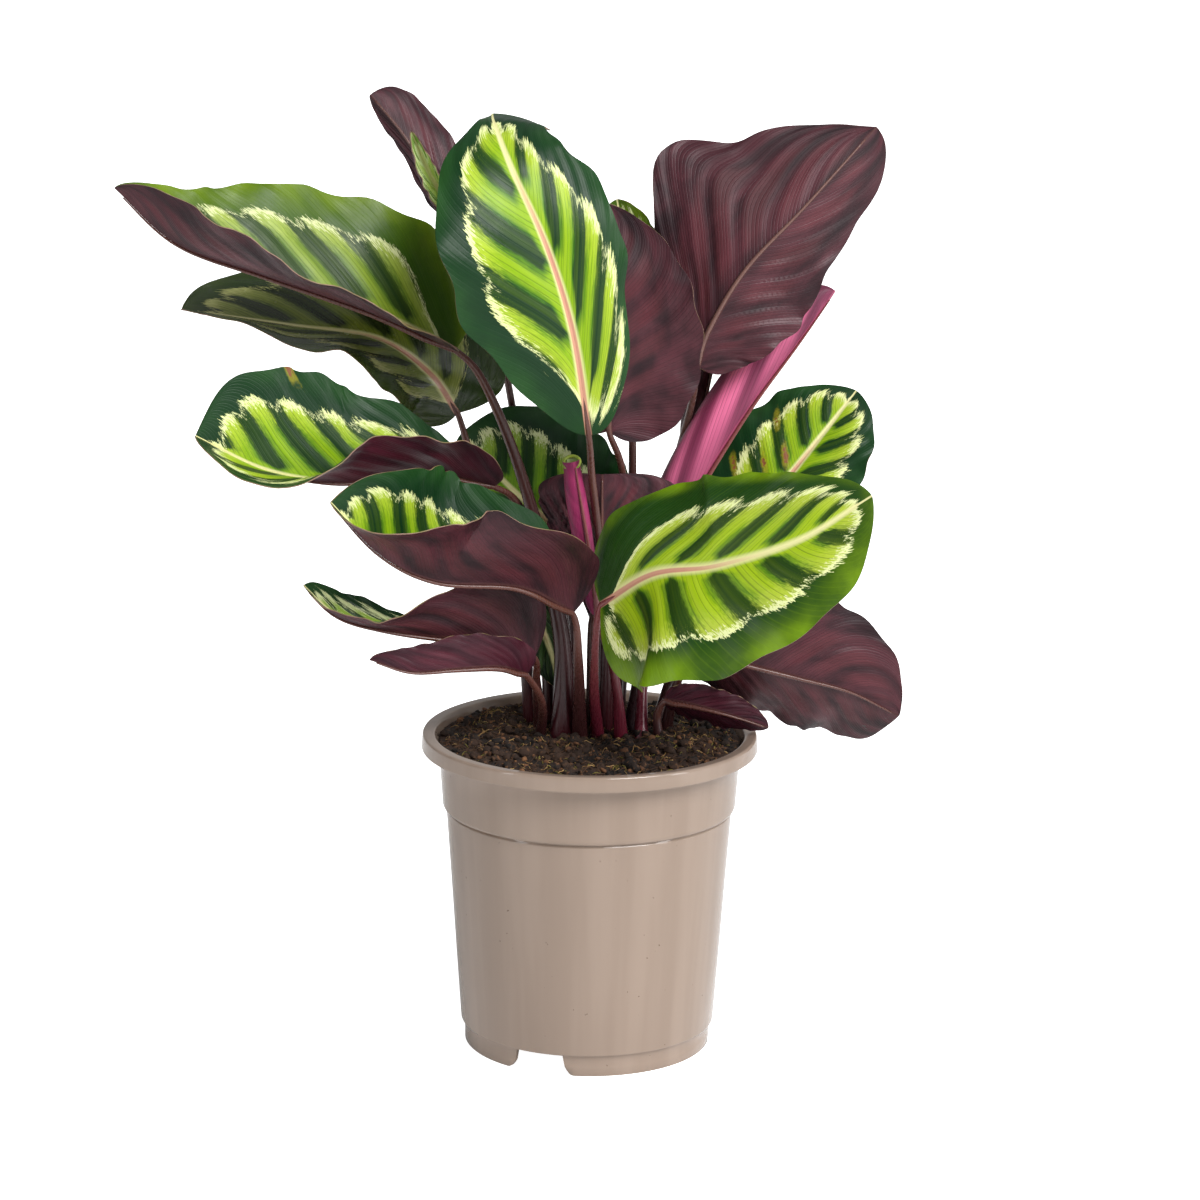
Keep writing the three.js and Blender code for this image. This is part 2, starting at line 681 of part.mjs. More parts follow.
function makeSoil() {
  const bottom = POT.footHeight + POT.floor + GAP
  const inset = POT.wall + GAP
  const footRadius = POT.bodyFootRadius - inset
  const bandHeight = POT.height - POT.rimDepth - POT.bandFootHeight
  const slope = (POT.bandRadius - POT.bandFootRadius) / bandHeight
  const edgeRadius = POT.bandFootRadius - inset + slope * (SOIL.edgeHeight - POT.bandFootHeight)
  const profile = [
    [0, bottom],
    [footRadius, bottom],
    [POT.stepRadius - inset, POT.stepHeight],
    [POT.bandFootRadius - inset, POT.bandFootHeight],
  ]
  for (let i = SOIL.rings; i >= 0; i -= 1) {
    const share = i / SOIL.rings
    profile.push([edgeRadius * share, SOIL.edgeHeight + SOIL.heap * (1 - share ** 2)])
  }
  const lump = lathe(profile, SOIL.sides)
  const positions = lump.attributes.position
  const [a, b, c] = SOIL.lumpLengths
  for (let i = 0; i < positions.count; i += 1) {
    const [x, y, z] = [positions.getX(i), positions.getY(i), positions.getZ(i)]
    if (z > POT.bandFootHeight) {
      const rise = Math.sin(x / a) * Math.cos(y / b) + Math.sin((x + y) / c) / 2
      positions.setZ(i, z + SOIL.lump * rise)
    }
  }
  let soil = toSolid(lump)
  for (const leaf of LEAVES) {
    const hole = taperedRod(stalkCurve(leaf, GAP), leaf.foot[2] + GAP, STALK.tipRadius + GAP)
    soil = soil.subtract(toSolid(hole))
  }
  return part('soil', soil, 'soil')
}

// ---------------------------------------------------------------- assembly

const plant = new THREE.Group()
plant.add(makePot(), makeSoil())
for (const leaf of LEAVES) {
  plant.add(makeLeaf(leaf))
}

// The leaves reach further to one side than to the other.
const middle = new THREE.Box3().setFromObject(plant).getCenter(new THREE.Vector3())
plant.position.set(-middle.x, -middle.y, 0)
const whole = new THREE.Group()
whole.add(plant)

export default whole
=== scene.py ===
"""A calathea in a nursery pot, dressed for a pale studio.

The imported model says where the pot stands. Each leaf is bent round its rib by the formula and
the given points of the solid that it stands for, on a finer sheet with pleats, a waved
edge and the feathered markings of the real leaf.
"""

import logging
import math
import random
from collections.abc import Sequence
from dataclasses import dataclass
from enum import Enum
from functools import cache

import bmesh
import bpy
from mathutils import Matrix, Quaternion, Vector, noise


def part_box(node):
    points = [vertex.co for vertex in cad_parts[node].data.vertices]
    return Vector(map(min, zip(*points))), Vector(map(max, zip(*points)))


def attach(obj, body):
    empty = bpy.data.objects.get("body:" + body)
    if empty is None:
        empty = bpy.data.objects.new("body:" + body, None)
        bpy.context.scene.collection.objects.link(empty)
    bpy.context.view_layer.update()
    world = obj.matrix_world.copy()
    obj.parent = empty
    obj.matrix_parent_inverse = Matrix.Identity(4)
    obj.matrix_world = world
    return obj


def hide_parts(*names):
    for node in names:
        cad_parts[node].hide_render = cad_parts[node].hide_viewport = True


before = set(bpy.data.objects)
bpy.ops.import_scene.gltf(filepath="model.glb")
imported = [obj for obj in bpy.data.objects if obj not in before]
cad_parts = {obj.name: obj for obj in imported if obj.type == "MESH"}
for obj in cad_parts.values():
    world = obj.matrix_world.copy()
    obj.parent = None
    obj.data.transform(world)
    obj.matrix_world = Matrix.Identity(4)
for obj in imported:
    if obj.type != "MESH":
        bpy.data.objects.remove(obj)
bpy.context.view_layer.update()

log = logging.getLogger("calathea")

BMesh = bmesh.types.BMesh
Material = bpy.types.Material
NodeTree = bpy.types.NodeTree
Piece = bpy.types.Object
Socket = bpy.types.NodeSocket
Value = float | Sequence[float] | Socket
Series = tuple[float, ...]
Pair = tuple[float, float]
Point = tuple[float, float, float]
Tone = tuple[float, float, float, float]

MM = 0.001
BODY = "root"
ORIGIN = Vector((0.0, 0.0, 0.0))
WHITE = (1.0, 1.0, 1.0, 1.0)
POT_LOW, POT_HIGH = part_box("pot")
AXIS = Vector(((POT_LOW.x + POT_HIGH.x) / 2, (POT_LOW.y + POT_HIGH.y) / 2, 0.0))


# ------------------------------------------------------------------ small helpers


def tone(red: int, green: int, blue: int) -> Tone:
    """A colour for a shader from its red, green and blue as seen on a screen, 0 to 255."""

    def linear(channel: int) -> float:
        """One channel in linear light."""
        share = channel / 255
        return share / 12.92 if share <= 0.04045 else ((share + 0.055) / 1.055) ** 2.4

    return linear(red), linear(green), linear(blue), 1.0


def from_axis(point: Sequence[float]) -> Vector:
    """A point of the frame from millimetres about the pot's axis."""
    return AXIS + Vector(point) * MM


def blend(ends: Pair, share: float) -> float:
    """The value at a share of the way between two ends."""
    return ends[0] + (ends[1] - ends[0]) * share


def cosine_share(share: float) -> float:
    """A share of a length, drawn towards both ends so that they are cut finely."""
    return (1 - math.cos(math.pi * share)) / 2


def placed(name: str, data: bpy.types.ID) -> Piece:
    """A new object of the scene."""
    made = bpy.data.objects.new(name, data)
    bpy.context.scene.collection.objects.link(made)
    return made


def finished(name: str, bm: BMesh, *materials: Material) -> Piece:
    """Turns a bmesh into a smooth-shaded object.

    Args:
        name: Name of the piece.
        bm: The shape, in the frame's metres; it is freed.
        materials: Materials of the piece's slots.

    Returns:
        The new object, linked to the scene.
    """
    mesh = bpy.data.meshes.new(name)
    for face in bm.faces:
        face.smooth = True
    bm.to_mesh(mesh)
    bm.free()
    for material in materials:
        mesh.materials.append(material)
    return placed(name, mesh)


def hand_in(piece: Piece, slot: str, node: str) -> Piece:
    """Joins a piece to the frame.

    Args:
        piece: The finished piece.
        slot: The record's material slot of the piece; not used.
        node: The CAD node that it stands for.

    Returns:
        The same piece.
    """
    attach(piece, BODY)
    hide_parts(node)
    log.info("%s: %d faces", piece.name, len(piece.data.polygons))
    return piece


def heading_matrix(direction: Vector) -> Matrix:
    """The turn that points the Z axis in a direction."""
    return direction.to_track_quat("Z", "Y").to_matrix().to_4x4()


def spun(bm: BMesh, outline: list, steps: int) -> None:
    """Spins an outline about the Z axis into a closed skin that faces outwards.

    Args:
        bm: The bmesh that holds it.
        outline: Its vertices and edges.
        steps: Number of steps round.
    """
    turn = {"cent": ORIGIN, "axis": (0.0, 0.0, 1.0), "angle": 2 * math.pi, "steps": steps}
    bmesh.ops.spin(bm, geom=outline, use_merge=True, use_duplicate=False, **turn)
    bmesh.ops.remove_doubles(bm, verts=bm.verts[:], dist=1e-3)
    bmesh.ops.recalc_face_normals(bm, faces=bm.faces[:])


def turned(profile: Sequence[Pair], steps: int) -> BMesh:
    """A turned shape about the Z axis, in millimetres.

    Args:
        profile: Radius and height of each point of its half section.
        steps: Number of steps round.

    Returns:
        The shape.
    """
    bm = bmesh.new()
    line = [bm.verts.new((radius, 0.0, height)) for radius, height in profile]
    spun(bm, line + [bm.edges.new(pair) for pair in zip(line, line[1:])], steps)
    return bm


def next_ring(bm: BMesh, edges: Sequence[bmesh.types.BMEdge]) -> tuple[list, list]:
    """Extrudes a ring of edges in place.

    Args:
        bm: The bmesh that holds it.
        edges: The ring.

    Returns:
        The new ring's vertices and its edges.
    """
    made = bmesh.ops.extrude_edge_only(bm, edges=edges)["geom"]
    verts = [item for item in made if isinstance(item, bmesh.types.BMVert)]
    within = set(verts).issuperset
    ring = [item for item in made if isinstance(item, bmesh.types.BMEdge) and within(item.verts)]
    return verts, ring


@dataclass(frozen=True)
class SmoothCurve:
    """A uniform Catmull-Rom curve through given points, with its ends drawn on straight."""

    points: tuple[Vector | float, ...]

    STEP = 1e-4  # step for the direction, as a share of the spans

    def at(self, share: float) -> Vector | float:
        """A point, or a number, of the curve.

        Args:
            share: Share of the curve's spans, from 0 to 1.

        Returns:
            The point or the number there.
        """
        last = len(self.points) - 1
        place = min(max(share, 0.0), 1.0) * last
        index = min(int(place), last - 1)
        rest = place - index
        start, end = self.points[index], self.points[index + 1]
        before = self.points[index - 1] if index else 2 * start - end
        after = self.points[index + 2] if index + 2 <= last else 2 * end - start
        leave, arrive = (end - before) / 2, (after - start) / 2
        square, cube = rest**2, rest**3
        return (
            start
            + leave * rest
            + (3 * (end - start) - 2 * leave - arrive) * square
            + (2 * (start - end) + leave + arrive) * cube
        )

    def along(self, share: float) -> Vector:
        """The unit direction of the curve at a share of its spans."""
        return (self.at(share + self.STEP) - self.at(share - self.STEP)).normalized()


def spread(values: Series, share: float) -> float:
    """The value at a share of a row of values that are spread evenly."""
    return SmoothCurve(values).at(share)


def curve_through(points: Sequence[Sequence[float]]) -> SmoothCurve:
    """The smooth curve through points given by their coordinates."""
    return SmoothCurve(tuple(Vector(point) for point in points))


# ------------------------------------------------------------------ shader wiring


class Wiring:
    """Adds nodes to a tree and links them by short calls."""

    def __init__(self, tree: NodeTree) -> None:
        """Wires the given tree."""
        self.tree = tree

    def feed(self, node: bpy.types.Node, feeds: dict[str | int, Value]) -> None:
        """Gives a node's inputs, by name or number, a link or a plain value each."""
        for name, value in feeds.items():
            if isinstance(value, Socket):
                self.tree.links.new(value, node.inputs[name])
            else:
                node.inputs[name].default_value = value

    def add(self, kind: str, feeds: dict[str | int, Value], **settings: object) -> bpy.types.Node:
        """Adds a node.

        Args:
            kind: The node's type.
            feeds: What its inputs get, by name or number.
            settings: The node's own properties.

        Returns:
            The node.
        """
        node = self.tree.nodes.new(kind)
        for name, value in settings.items():
            setattr(node, name, value)
        self.feed(node, feeds)
        return node

    def group(self, tree: NodeTree, feeds: dict[str, Value]) -> bpy.types.NodeOutputs:
        """The outputs of a node group."""
        return self.add("ShaderNodeGroup", feeds, node_tree=tree).outputs

    def math(self, operation: str, *values: Value) -> Socket:
        """A Math node's result."""
        return self.add("ShaderNodeMath", dict(enumerate(values)), operation=operation).outputs[0]

    def times(self, first: Value, second: Value) -> Socket:
        """The product of two numbers."""
        return self.math("MULTIPLY", first, second)

    def plus(self, first: Value, second: Value) -> Socket:
        """The sum of two numbers."""
        return self.math("ADD", first, second)

    def scaled(self, value: Value, factor: Value, offset: Value) -> Socket:
        """A number times a factor, plus an offset."""
        return self.math("MULTIPLY_ADD", value, factor, offset)

    def step(
        self, value: Value, start: Value, end: Value, low: Value = 0.0, high: Value = 1.0
    ) -> Socket:
        """A smooth step from low to high as the value goes from start to end."""
        feeds = {"Value": value, "From Min": start, "From Max": end, "To Min": low, "To Max": high}
        return self.add("ShaderNodeMapRange", feeds, interpolation_type="SMOOTHSTEP").outputs[0]

    def tint(self, colour: Value, other: Value, mask: Value, most: float = 1.0) -> Socket:
        """A colour drawn towards another one by a mask, at most by a given share."""
        share = mask if most == 1.0 else self.times(mask, most)
        return self.add("ShaderNodeMix", {0: share, 6: colour, 7: other}, data_type="RGBA").outputs[2]

    def vector(self, x: Value = 0.0, y: Value = 0.0, z: Value = 0.0) -> Socket:
        """A vector from its parts."""
        return self.add("ShaderNodeCombineXYZ", {0: x, 1: y, 2: z}).outputs[0]

    def noise(self, where: Value, scale: Value, detail: Value = 2.0) -> Socket:
        """Smooth noise, about 0.5, at a place."""
        feeds = {"Vector": where, "Scale": scale, "Detail": detail}
        return self.add("ShaderNodeTexNoise", feeds).outputs[0]

    def attribute(self, name: str) -> Socket:
        """A number that the piece's mesh carries."""
        return self.add("ShaderNodeAttribute", {}, attribute_name=name).outputs["Fac"]

    def place(self, upright: Value = 1.0) -> Socket:
        """Object coordinates, scaled upright."""
        where = self.add("ShaderNodeTexCoord", {}).outputs["Object"]
        feeds = {"Vector": where, "Scale": self.vector(1.0, 1.0, upright)}
        return self.add("ShaderNodeMapping", feeds).outputs[0]

    def bump(self, height: Value, distance: float) -> Socket:
        """A normal bent by a height of so many millimetres."""
        feeds = {"Height": height, "Distance": distance * MM}
        return self.add("ShaderNodeBump", feeds).outputs[0]

    def off_feather(self, phase: Value) -> Socket:
        """From 0 in the middle of a feather to 1 in the middle of the dark band beside it."""
        return self.math("ABSOLUTE", self.scaled(self.math("FRACT", phase), 2.0, -1.0))


def new_material(name: str) -> tuple[Material, Wiring, bpy.types.Node]:
    """A new node material.

    Args:
        name: Its name.

    Returns:
        The material, its wiring and its Principled shader.
    """
    material = bpy.data.materials.new(name)
    material.use_nodes = True
    shader = material.node_tree.nodes["Principled BSDF"]
    return material, Wiring(material.node_tree), shader


def new_group(
    name: str, inputs: Sequence[str], outputs: Sequence[str]
) -> tuple[Wiring, list[Socket], bpy.types.Node]:
    """An empty node group that takes and gives numbers.

    Args:
        name: The group's name.
        inputs: Names of the numbers that it takes.
        outputs: Names of the numbers that it gives.

    Returns:
        The group's wiring, the numbers that it takes, and the node that gives its results.
    """
    tree = bpy.data.node_groups.new(name, "ShaderNodeTree")
    for labels, way in ((inputs, "INPUT"), (outputs, "OUTPUT")):
        for label in labels:
            tree.interface.new_socket(label, in_out=way, socket_type="NodeSocketFloat")
    wires = Wiring(tree)
    given = wires.add("NodeGroupInput", {}).outputs
    return wires, [given[label] for label in inputs], wires.add("NodeGroupOutput", {})


@cache
def grain_group() -> NodeTree:
    """Grain over a piece, about 0.5, so fine to a metre and drawn long by a low Upright, built once."""
    inputs = ("Scale", "Detail", "Upright")
    wires, (scale, detail, upright), result = new_group("grain", inputs, ("Grain",))
    wires.feed(result, {"Grain": wires.noise(wires.place(upright), scale, detail)})
    return wires.tree


def grain(wires: Wiring, scale: float, detail: float = 2.0, upright: float = 1.0) -> Socket:
    """Places the grain group in a material, with its own values."""
    feeds = {"Scale": scale, "Detail": detail, "Upright": upright}
    return wires.group(grain_group(), feeds)["Grain"]


@cache
def vein_group() -> NodeTree:
    """Fine side veins of a blade, as lines, as a height and as streaks, built once."""
    wires, given, result = new_group("side veins", ("Phase", "Count"), ("Line", "Height", "Streak"))
    turns = wires.times(*given)
    uneven = wires.scaled(wires.noise(wires.vector(turns), 0.6), 1.6, turns)
    wave = wires.math("SINE", wires.times(uneven, 2 * math.pi))
    line, height = wires.step(wave, 0.8, 1.0), wires.step(wave, 0.3, 1.0, 1.0, 0.0)
    streak = wires.noise(wires.vector(turns), 0.7, 3.0)
    wires.feed(result, {"Line": line, "Height": height, "Streak": streak})
    return wires.tree


@cache
def spot_group() -> NodeTree:
    """Ragged dried spots with a halo as masks, from the depth in a spot in millimetres, built once."""
    wires, given, result = new_group("dried spots", ("Depth",), ("Halo", "Burnt"))
    ragged = wires.scaled(wires.noise(wires.place(), 260.0, 4.0), 9.0, -4.5)
    depth = wires.plus(*given, ragged)
    halo, burnt = wires.step(depth, -5.0, -0.6, 0.0, 0.5), wires.step(depth, -0.6, 0.4)
    wires.feed(result, {"Halo": halo, "Burnt": burnt})
    return wires.tree


@cache
def mark_group() -> NodeTree:
    """The feathered markings of a blade's top side as masks, built once.

    It takes the count of feathers passed, the distances inside the ring and from the rib, the
    light share of a feather and the fringe's width, with its lengths in millimetres.
    """
    inputs = ("Phase", "Inset", "Rib", "Light Share", "Fringe")
    outputs = ("Inside", "Feather", "Bright", "Fringe", "Pale", "Speck")
    wires, (phase, inset, rib, light_share, fringe_width), result = new_group(
        "feather marks", inputs, outputs
    )

    def streaks(across: float, along: float, seed: float) -> Socket:
        """Streaks that run with the side veins, from about -0.5 to 0.5."""
        where = wires.vector(wires.times(phase, across), wires.times(rib, along), seed)
        return wires.plus(wires.noise(where, 1.0), -0.5)

    teeth, hairs = streaks(14.0, 0.1, 0.0), streaks(44.0, 0.3, 7.0)
    fuzz = streaks(90.0, 0.7, 5.0)

    # a feather widens where it meets the rib, and its sides are ragged
    off = wires.off_feather(phase)
    ragged = wires.scaled(hairs, 0.22, wires.scaled(teeth, 0.3, off))
    share = wires.plus(light_share, wires.step(rib, 1.5, 8.0, 0.55, 0.0))
    inward = wires.math("SUBTRACT", share, ragged)
    feather = wires.step(inward, -0.14, 0.1)

    # the ring bulges at each feather, and its hairs run with the veins
    bulge = wires.scaled(wires.math("POWER", off, 2.4), -4.0, 1.8)
    tooth = wires.scaled(teeth, 7.0, wires.times(hairs, 7.0))
    depth = wires.plus(inset, wires.plus(bulge, tooth))
    inside = wires.step(depth, 0.0, 0.5)
    width = wires.times(fringe_width, wires.step(feather, 0.0, 1.0, 0.3, 1.0))
    inner = wires.scaled(hairs, 9.0, wires.scaled(fuzz, 5.0, depth))
    over = wires.math("SUBTRACT", inner, width)
    fringe = wires.times(wires.step(over, 1.0, -0.8), inside)

    # pale specks lie in the dark bands, by the ring
    dots = wires.step(streaks(64.0, 1.5, 3.0), 0.13, 0.2)
    near = wires.times(wires.step(depth, 12.0, 1.0), wires.step(inward, -0.6, -0.1))

    bright, pale = wires.step(inward, 0.0, 0.42), wires.step(over, 13.0, 0.0)
    masks = (inside, feather, bright, fringe, pale, wires.times(dots, near))
    wires.feed(result, dict(zip(outputs, masks)))
    return wires.tree


# ------------------------------------------------------------------ finishes


MARKS = ("phase", "inset", "rib", "edge", "share", "scorch")  # numbers that a blade's mesh carries
VEINS = 9.0  # fine veins to a feather


@dataclass(frozen=True)
class TopFinish:
    """Upper side of a blade: yellow-green feathers in a pale ring on a green margin."""

    name: str
    margin: Tone
    # the next colour is painted light: the margin's paler tone towards its edge
    margin_lit_edge: Tone
    band: Tone
    feather_side: Tone
    feather: Tone
    pale: Tone
    ring: Tone
    rib_base: Tone = tone(200, 146, 122)
    rib_tip: Tone = tone(226, 222, 160)
    scorch: Tone = tone(128, 80, 48)
    yellowed: Tone = tone(168, 158, 34)
    edge_light_reach: float = 14.0  # how far in from its edge painted light pales the margin, in millimetres
    light_share: float = 0.5  # half the width of a feather, as a share of the way to the next
    halo: float = 3.0  # how far the pale border of the rib reaches, in millimetres
    fringe: float = 3.4  # width of the ring's pale fringe, in millimetres
    roughness: float = 0.34
    shine: float = 0.22

    @cache
    def material(self) -> Material:
        """Builds the material once, which reads the numbers that a blade's mesh carries."""
        material, wires, shader = new_material(self.name)
        phase, inset, rib, edge, share, scorch = (wires.attribute(name) for name in MARKS)
        sizes = {"Light Share": self.light_share, "Fringe": self.fringe}
        mask = wires.group(mark_group(), {"Phase": phase, "Inset": inset, "Rib": rib, **sizes})
        veins = wires.group(vein_group(), {"Phase": phase, "Count": VEINS})
        line, streak = veins["Line"], wires.step(veins["Streak"], 0.35, 0.68)
        spots = wires.group(spot_group(), {"Depth": scorch})

        # painted light: the margin pales towards its edge, mottled
        cloud = wires.step(grain(wires, 30.0, 4.0), 0.3, 0.7, 0.15, 1.0)
        painted_edge_light = wires.times(wires.step(edge, self.edge_light_reach, 0.0), cloud)
        margin = wires.tint(self.margin, self.margin_lit_edge, painted_edge_light)
        margin = wires.tint(margin, self.margin_lit_edge, line, 0.12)

        band = wires.tint(self.band, self.feather, streak, 0.12)
        band = wires.tint(band, self.pale, mask["Speck"], 0.8)
        feather = wires.tint(self.feather_side, self.feather, mask["Bright"])
        feather = wires.tint(feather, self.pale, streak, 0.22)
        feather = wires.tint(feather, self.pale, mask["Pale"], 0.75)
        feather = wires.tint(feather, self.band, line, 0.42)
        colour = wires.tint(band, feather, mask["Feather"])
        colour = wires.tint(colour, self.ring, mask["Fringe"])
        colour = wires.tint(margin, colour, mask["Inside"])

        halo = wires.times(wires.step(rib, self.halo, 1.2), mask["Inside"])
        colour = wires.tint(colour, self.rib_tip, halo, 0.85)
        rib_tone = wires.tint(self.rib_base, self.rib_tip, wires.step(share, 0.35, 0.7))
        colour = wires.tint(colour, rib_tone, wires.step(rib, 1.6, 0.9))
        colour = wires.tint(colour, self.yellowed, spots["Halo"])
        rough = grain(wires, 90.0, 3.0)
        least, most = self.roughness - 0.06, self.roughness + 0.08
        feeds = {
            "Base Color": wires.tint(colour, self.scorch, spots["Burnt"]),
            "Roughness": wires.step(rough, 0.2, 0.8, least, most),
            "Normal": wires.bump(veins["Height"], 0.04),
            "Specular IOR Level": self.shine,
        }
        wires.feed(shader, feeds)
        return material


@dataclass(frozen=True)
class UnderFinish:
    """Lower side of a blade: wine purple with fine veins and redder streaks."""

    name: str
    ground: Tone
    streak: Tone
    shade: Tone
    rib: Tone = tone(74, 40, 40)
    scorch: Tone = tone(70, 66, 66)
    through: float = 0.3  # how far the feathers of the top side show through
    roughness: float = 0.42
    shine: float = 0.28

    @cache
    def material(self) -> Material:
        """Builds the material once, which reads the numbers that a blade's mesh carries."""
        material, wires, shader = new_material(self.name)
        phase, inset, rib, _, _, scorch = (wires.attribute(name) for name in MARKS)
        veins = wires.group(vein_group(), {"Phase": phase, "Count": VEINS})
        spots = wires.group(spot_group(), {"Depth": scorch})
        broad = wires.vector(wires.times(phase, 0.9), wires.times(rib, 0.045))
        cloud = wires.step(wires.noise(broad, 1.0, 3.0), 0.3, 0.72)
        colour = wires.tint(self.ground, self.shade, cloud)

        # a feather of the top side, as a soft redder patch between the rib and the ring
        across, inside = wires.step(wires.off_feather(phase), 0.85, 0.3), wires.step(inset, -2.0, 5.0)
        patch = wires.times(wires.times(across, inside), wires.step(rib, 3.0, 12.0, 0.2, 1.0))
        colour = wires.tint(colour, self.streak, patch, self.through)
        colour = wires.tint(colour, self.shade, veins["Line"], 0.4)
        colour = wires.tint(colour, self.rib, wires.step(rib, 1.7, 1.1))
        colour = wires.tint(colour, self.ground, spots["Halo"])
        least, most = self.roughness - 0.05, self.roughness + 0.05
        feeds = {
            "Base Color": wires.tint(colour, self.scorch, spots["Burnt"]),
            "Roughness": wires.step(cloud, 0.0, 1.0, least, most),
            "Normal": wires.bump(veins["Height"], 0.06),
            "Specular IOR Level": self.shine,
        }
        wires.feed(shader, feeds)
        return material


@dataclass(frozen=True)
class StemFinish:
    """A stalk: smooth and shiny, with another colour at its sheathed foot than at its top."""

    name: str
    foot: Tone
    middle: Tone
    top: Tone
    roughness: float = 0.22

    @cache
    def material(self) -> Material:
        """Builds the material once, which reads how far along the stalk it is."""
        material, wires, shader = new_material(self.name)
        share = wires.attribute("share")
        lines = grain(wires, 900.0, 3.0, upright=0.06)
        colour = wires.tint(self.foot, self.middle, wires.step(share, 0.12, 0.45))
        colour = wires.tint(colour, self.top, wires.step(share, 0.45, 0.85))
        feeds = {
            "Base Color": wires.tint(colour, self.foot, wires.step(lines, 0.45, 0.75, 0.0, 0.25)),
            "Roughness": wires.step(lines, 0.2, 0.8, self.roughness, self.roughness + 0.12),
            "Normal": wires.bump(lines, 0.04),
        }
        wires.feed(shader, feeds)
        return material


@dataclass(frozen=True)
class PlainFinish:
    """An even finish with a slight cloudiness, for edges and small bits."""

    name: str
    tone: Tone
    other: Tone
    roughness: float

    @cache
    def material(self) -> Material:
        """Builds the material once."""
        material, wires, shader = new_material(self.name)
        cloud = wires.step(grain(wires, 200.0, 3.0), 0.35, 0.65)
        colour = wires.tint(self.tone, self.other, cloud)
        wires.feed(shader, {"Base Color": colour, "Roughness": self.roughness})
        return material


@dataclass(frozen=True)
class PotFinish:
    """Moulded plastic: taupe, glossy, with faint flow lines and specks of dirt."""

    name: str = "taupe plastic"
    ground: Tone = tone(144, 126, 112)
    paler: Tone = tone(152, 134, 120)
    dirt: Tone = tone(92, 72, 56)
    roughness: float = 0.09

    @cache
    def material(self) -> Material:
        """Builds the material once."""
        material, wires, shader = new_material(self.name)
        flow = grain(wires, 60.0, 3.0, upright=0.03)
        colour = wires.tint(self.ground, self.paler, wires.step(flow, 0.35, 0.7))
        dots, gate = grain(wires, 420.0, 1.0), grain(wires, 25.0)
        speck = wires.times(wires.step(dots, 0.765, 0.80), wires.step(gate, 0.45, 0.6))
        colour = wires.tint(colour, self.dirt, speck, 0.8)
        wires.feed(shader, {"Base Color": colour, "Roughness": self.roughness})
        return material


@dataclass(frozen=True)
class SoilFinish:
    """Peaty potting soil in many browns."""

    name: str = "potting soil"
    dark: Tone = tone(22, 14, 10)
    middle: Tone = tone(54, 35, 23)
    light: Tone = tone(98, 67, 42)
    roughness: float = 0.9

    @cache
    def material(self) -> Material:
        """Builds the material once."""
        material, wires, shader = new_material(self.name)
        clumps, grains = grain(wires, 70.0, 4.0), grain(wires, 420.0, 5.0)
        colour = wires.tint(self.dark, self.middle, wires.step(clumps, 0.38, 0.62))
        colour = wires.tint(colour, self.light, wires.step(grains, 0.56, 0.7))
        bump = wires.bump(grains, 1.2)
        wires.feed(shader, {"Base Color": colour, "Roughness": self.roughness, "Normal": bump})
        return material


class Top(Enum):
    """Finishes of a blade's upper side, some of them lit or shaded copies with painted light or shade.
    """

    VIVID = TopFinish(
        "vivid leaf", margin=tone(16, 50, 24), margin_lit_edge=tone(34, 74, 30), band=tone(12, 48, 20),
        feather_side=tone(64, 114, 14), feather=tone(130, 168, 14), pale=tone(180, 202, 56),
        ring=tone(226, 232, 168),
    )
    # painted light: a brightly lit copy of the leaf's colours, with a wider pale border along the rib
    # as a painted highlight
    BRIGHTLY_LIT = TopFinish(
        "brightly lit leaf", margin=tone(24, 60, 10), margin_lit_edge=tone(116, 150, 12), band=tone(18, 52, 8),
        feather_side=tone(78, 124, 8), feather=tone(152, 182, 14), pale=tone(184, 200, 70),
        ring=tone(226, 232, 170), edge_light_reach=21.0, halo=4.4, light_share=0.6, shine=0.28,
    )
    SUNLIT = TopFinish(
        "sunlit leaf", margin=tone(52, 84, 14), margin_lit_edge=tone(112, 138, 22), band=tone(34, 60, 16),
        feather_side=tone(74, 108, 22), feather=tone(122, 148, 32), pale=tone(172, 190, 84),
        ring=tone(216, 222, 164), edge_light_reach=22.0,
    )
    # painted shade: a darker copy of the leaf's colours, for a blade in shade
    SHADED = TopFinish(
        "shaded leaf", margin=tone(34, 54, 16), margin_lit_edge=tone(66, 82, 24), band=tone(28, 42, 16),
        feather_side=tone(66, 84, 24), feather=tone(104, 118, 34), pale=tone(142, 150, 74),
        ring=tone(176, 178, 110), roughness=0.22, shine=0.6,
    )
    PALE = TopFinish(
        "young leaf", margin=tone(120, 156, 60), margin_lit_edge=tone(206, 218, 160),
        band=tone(88, 130, 40), feather_side=tone(120, 160, 56), feather=tone(150, 186, 70),
        pale=tone(190, 210, 110), ring=tone(226, 236, 180), edge_light_reach=4.0,
    )
    DEEP = TopFinish(
        "deep green leaf", margin=tone(18, 50, 24), margin_lit_edge=tone(36, 76, 32),
        band=tone(14, 46, 20), feather_side=tone(52, 100, 22), feather=tone(104, 148, 26),
        pale=tone(156, 184, 70), ring=tone(218, 226, 170), fringe=4.4,
    )
    # painted shade: a nearly black copy of the leaf's colours, for a blade deep in shadow
    SHADOWED = TopFinish(
        "shadowed leaf", margin=tone(12, 30, 16), margin_lit_edge=tone(24, 46, 18), band=tone(10, 24, 12),
        feather_side=tone(16, 36, 14), feather=tone(26, 52, 18), pale=tone(44, 70, 26),
        ring=tone(60, 84, 40),
    )


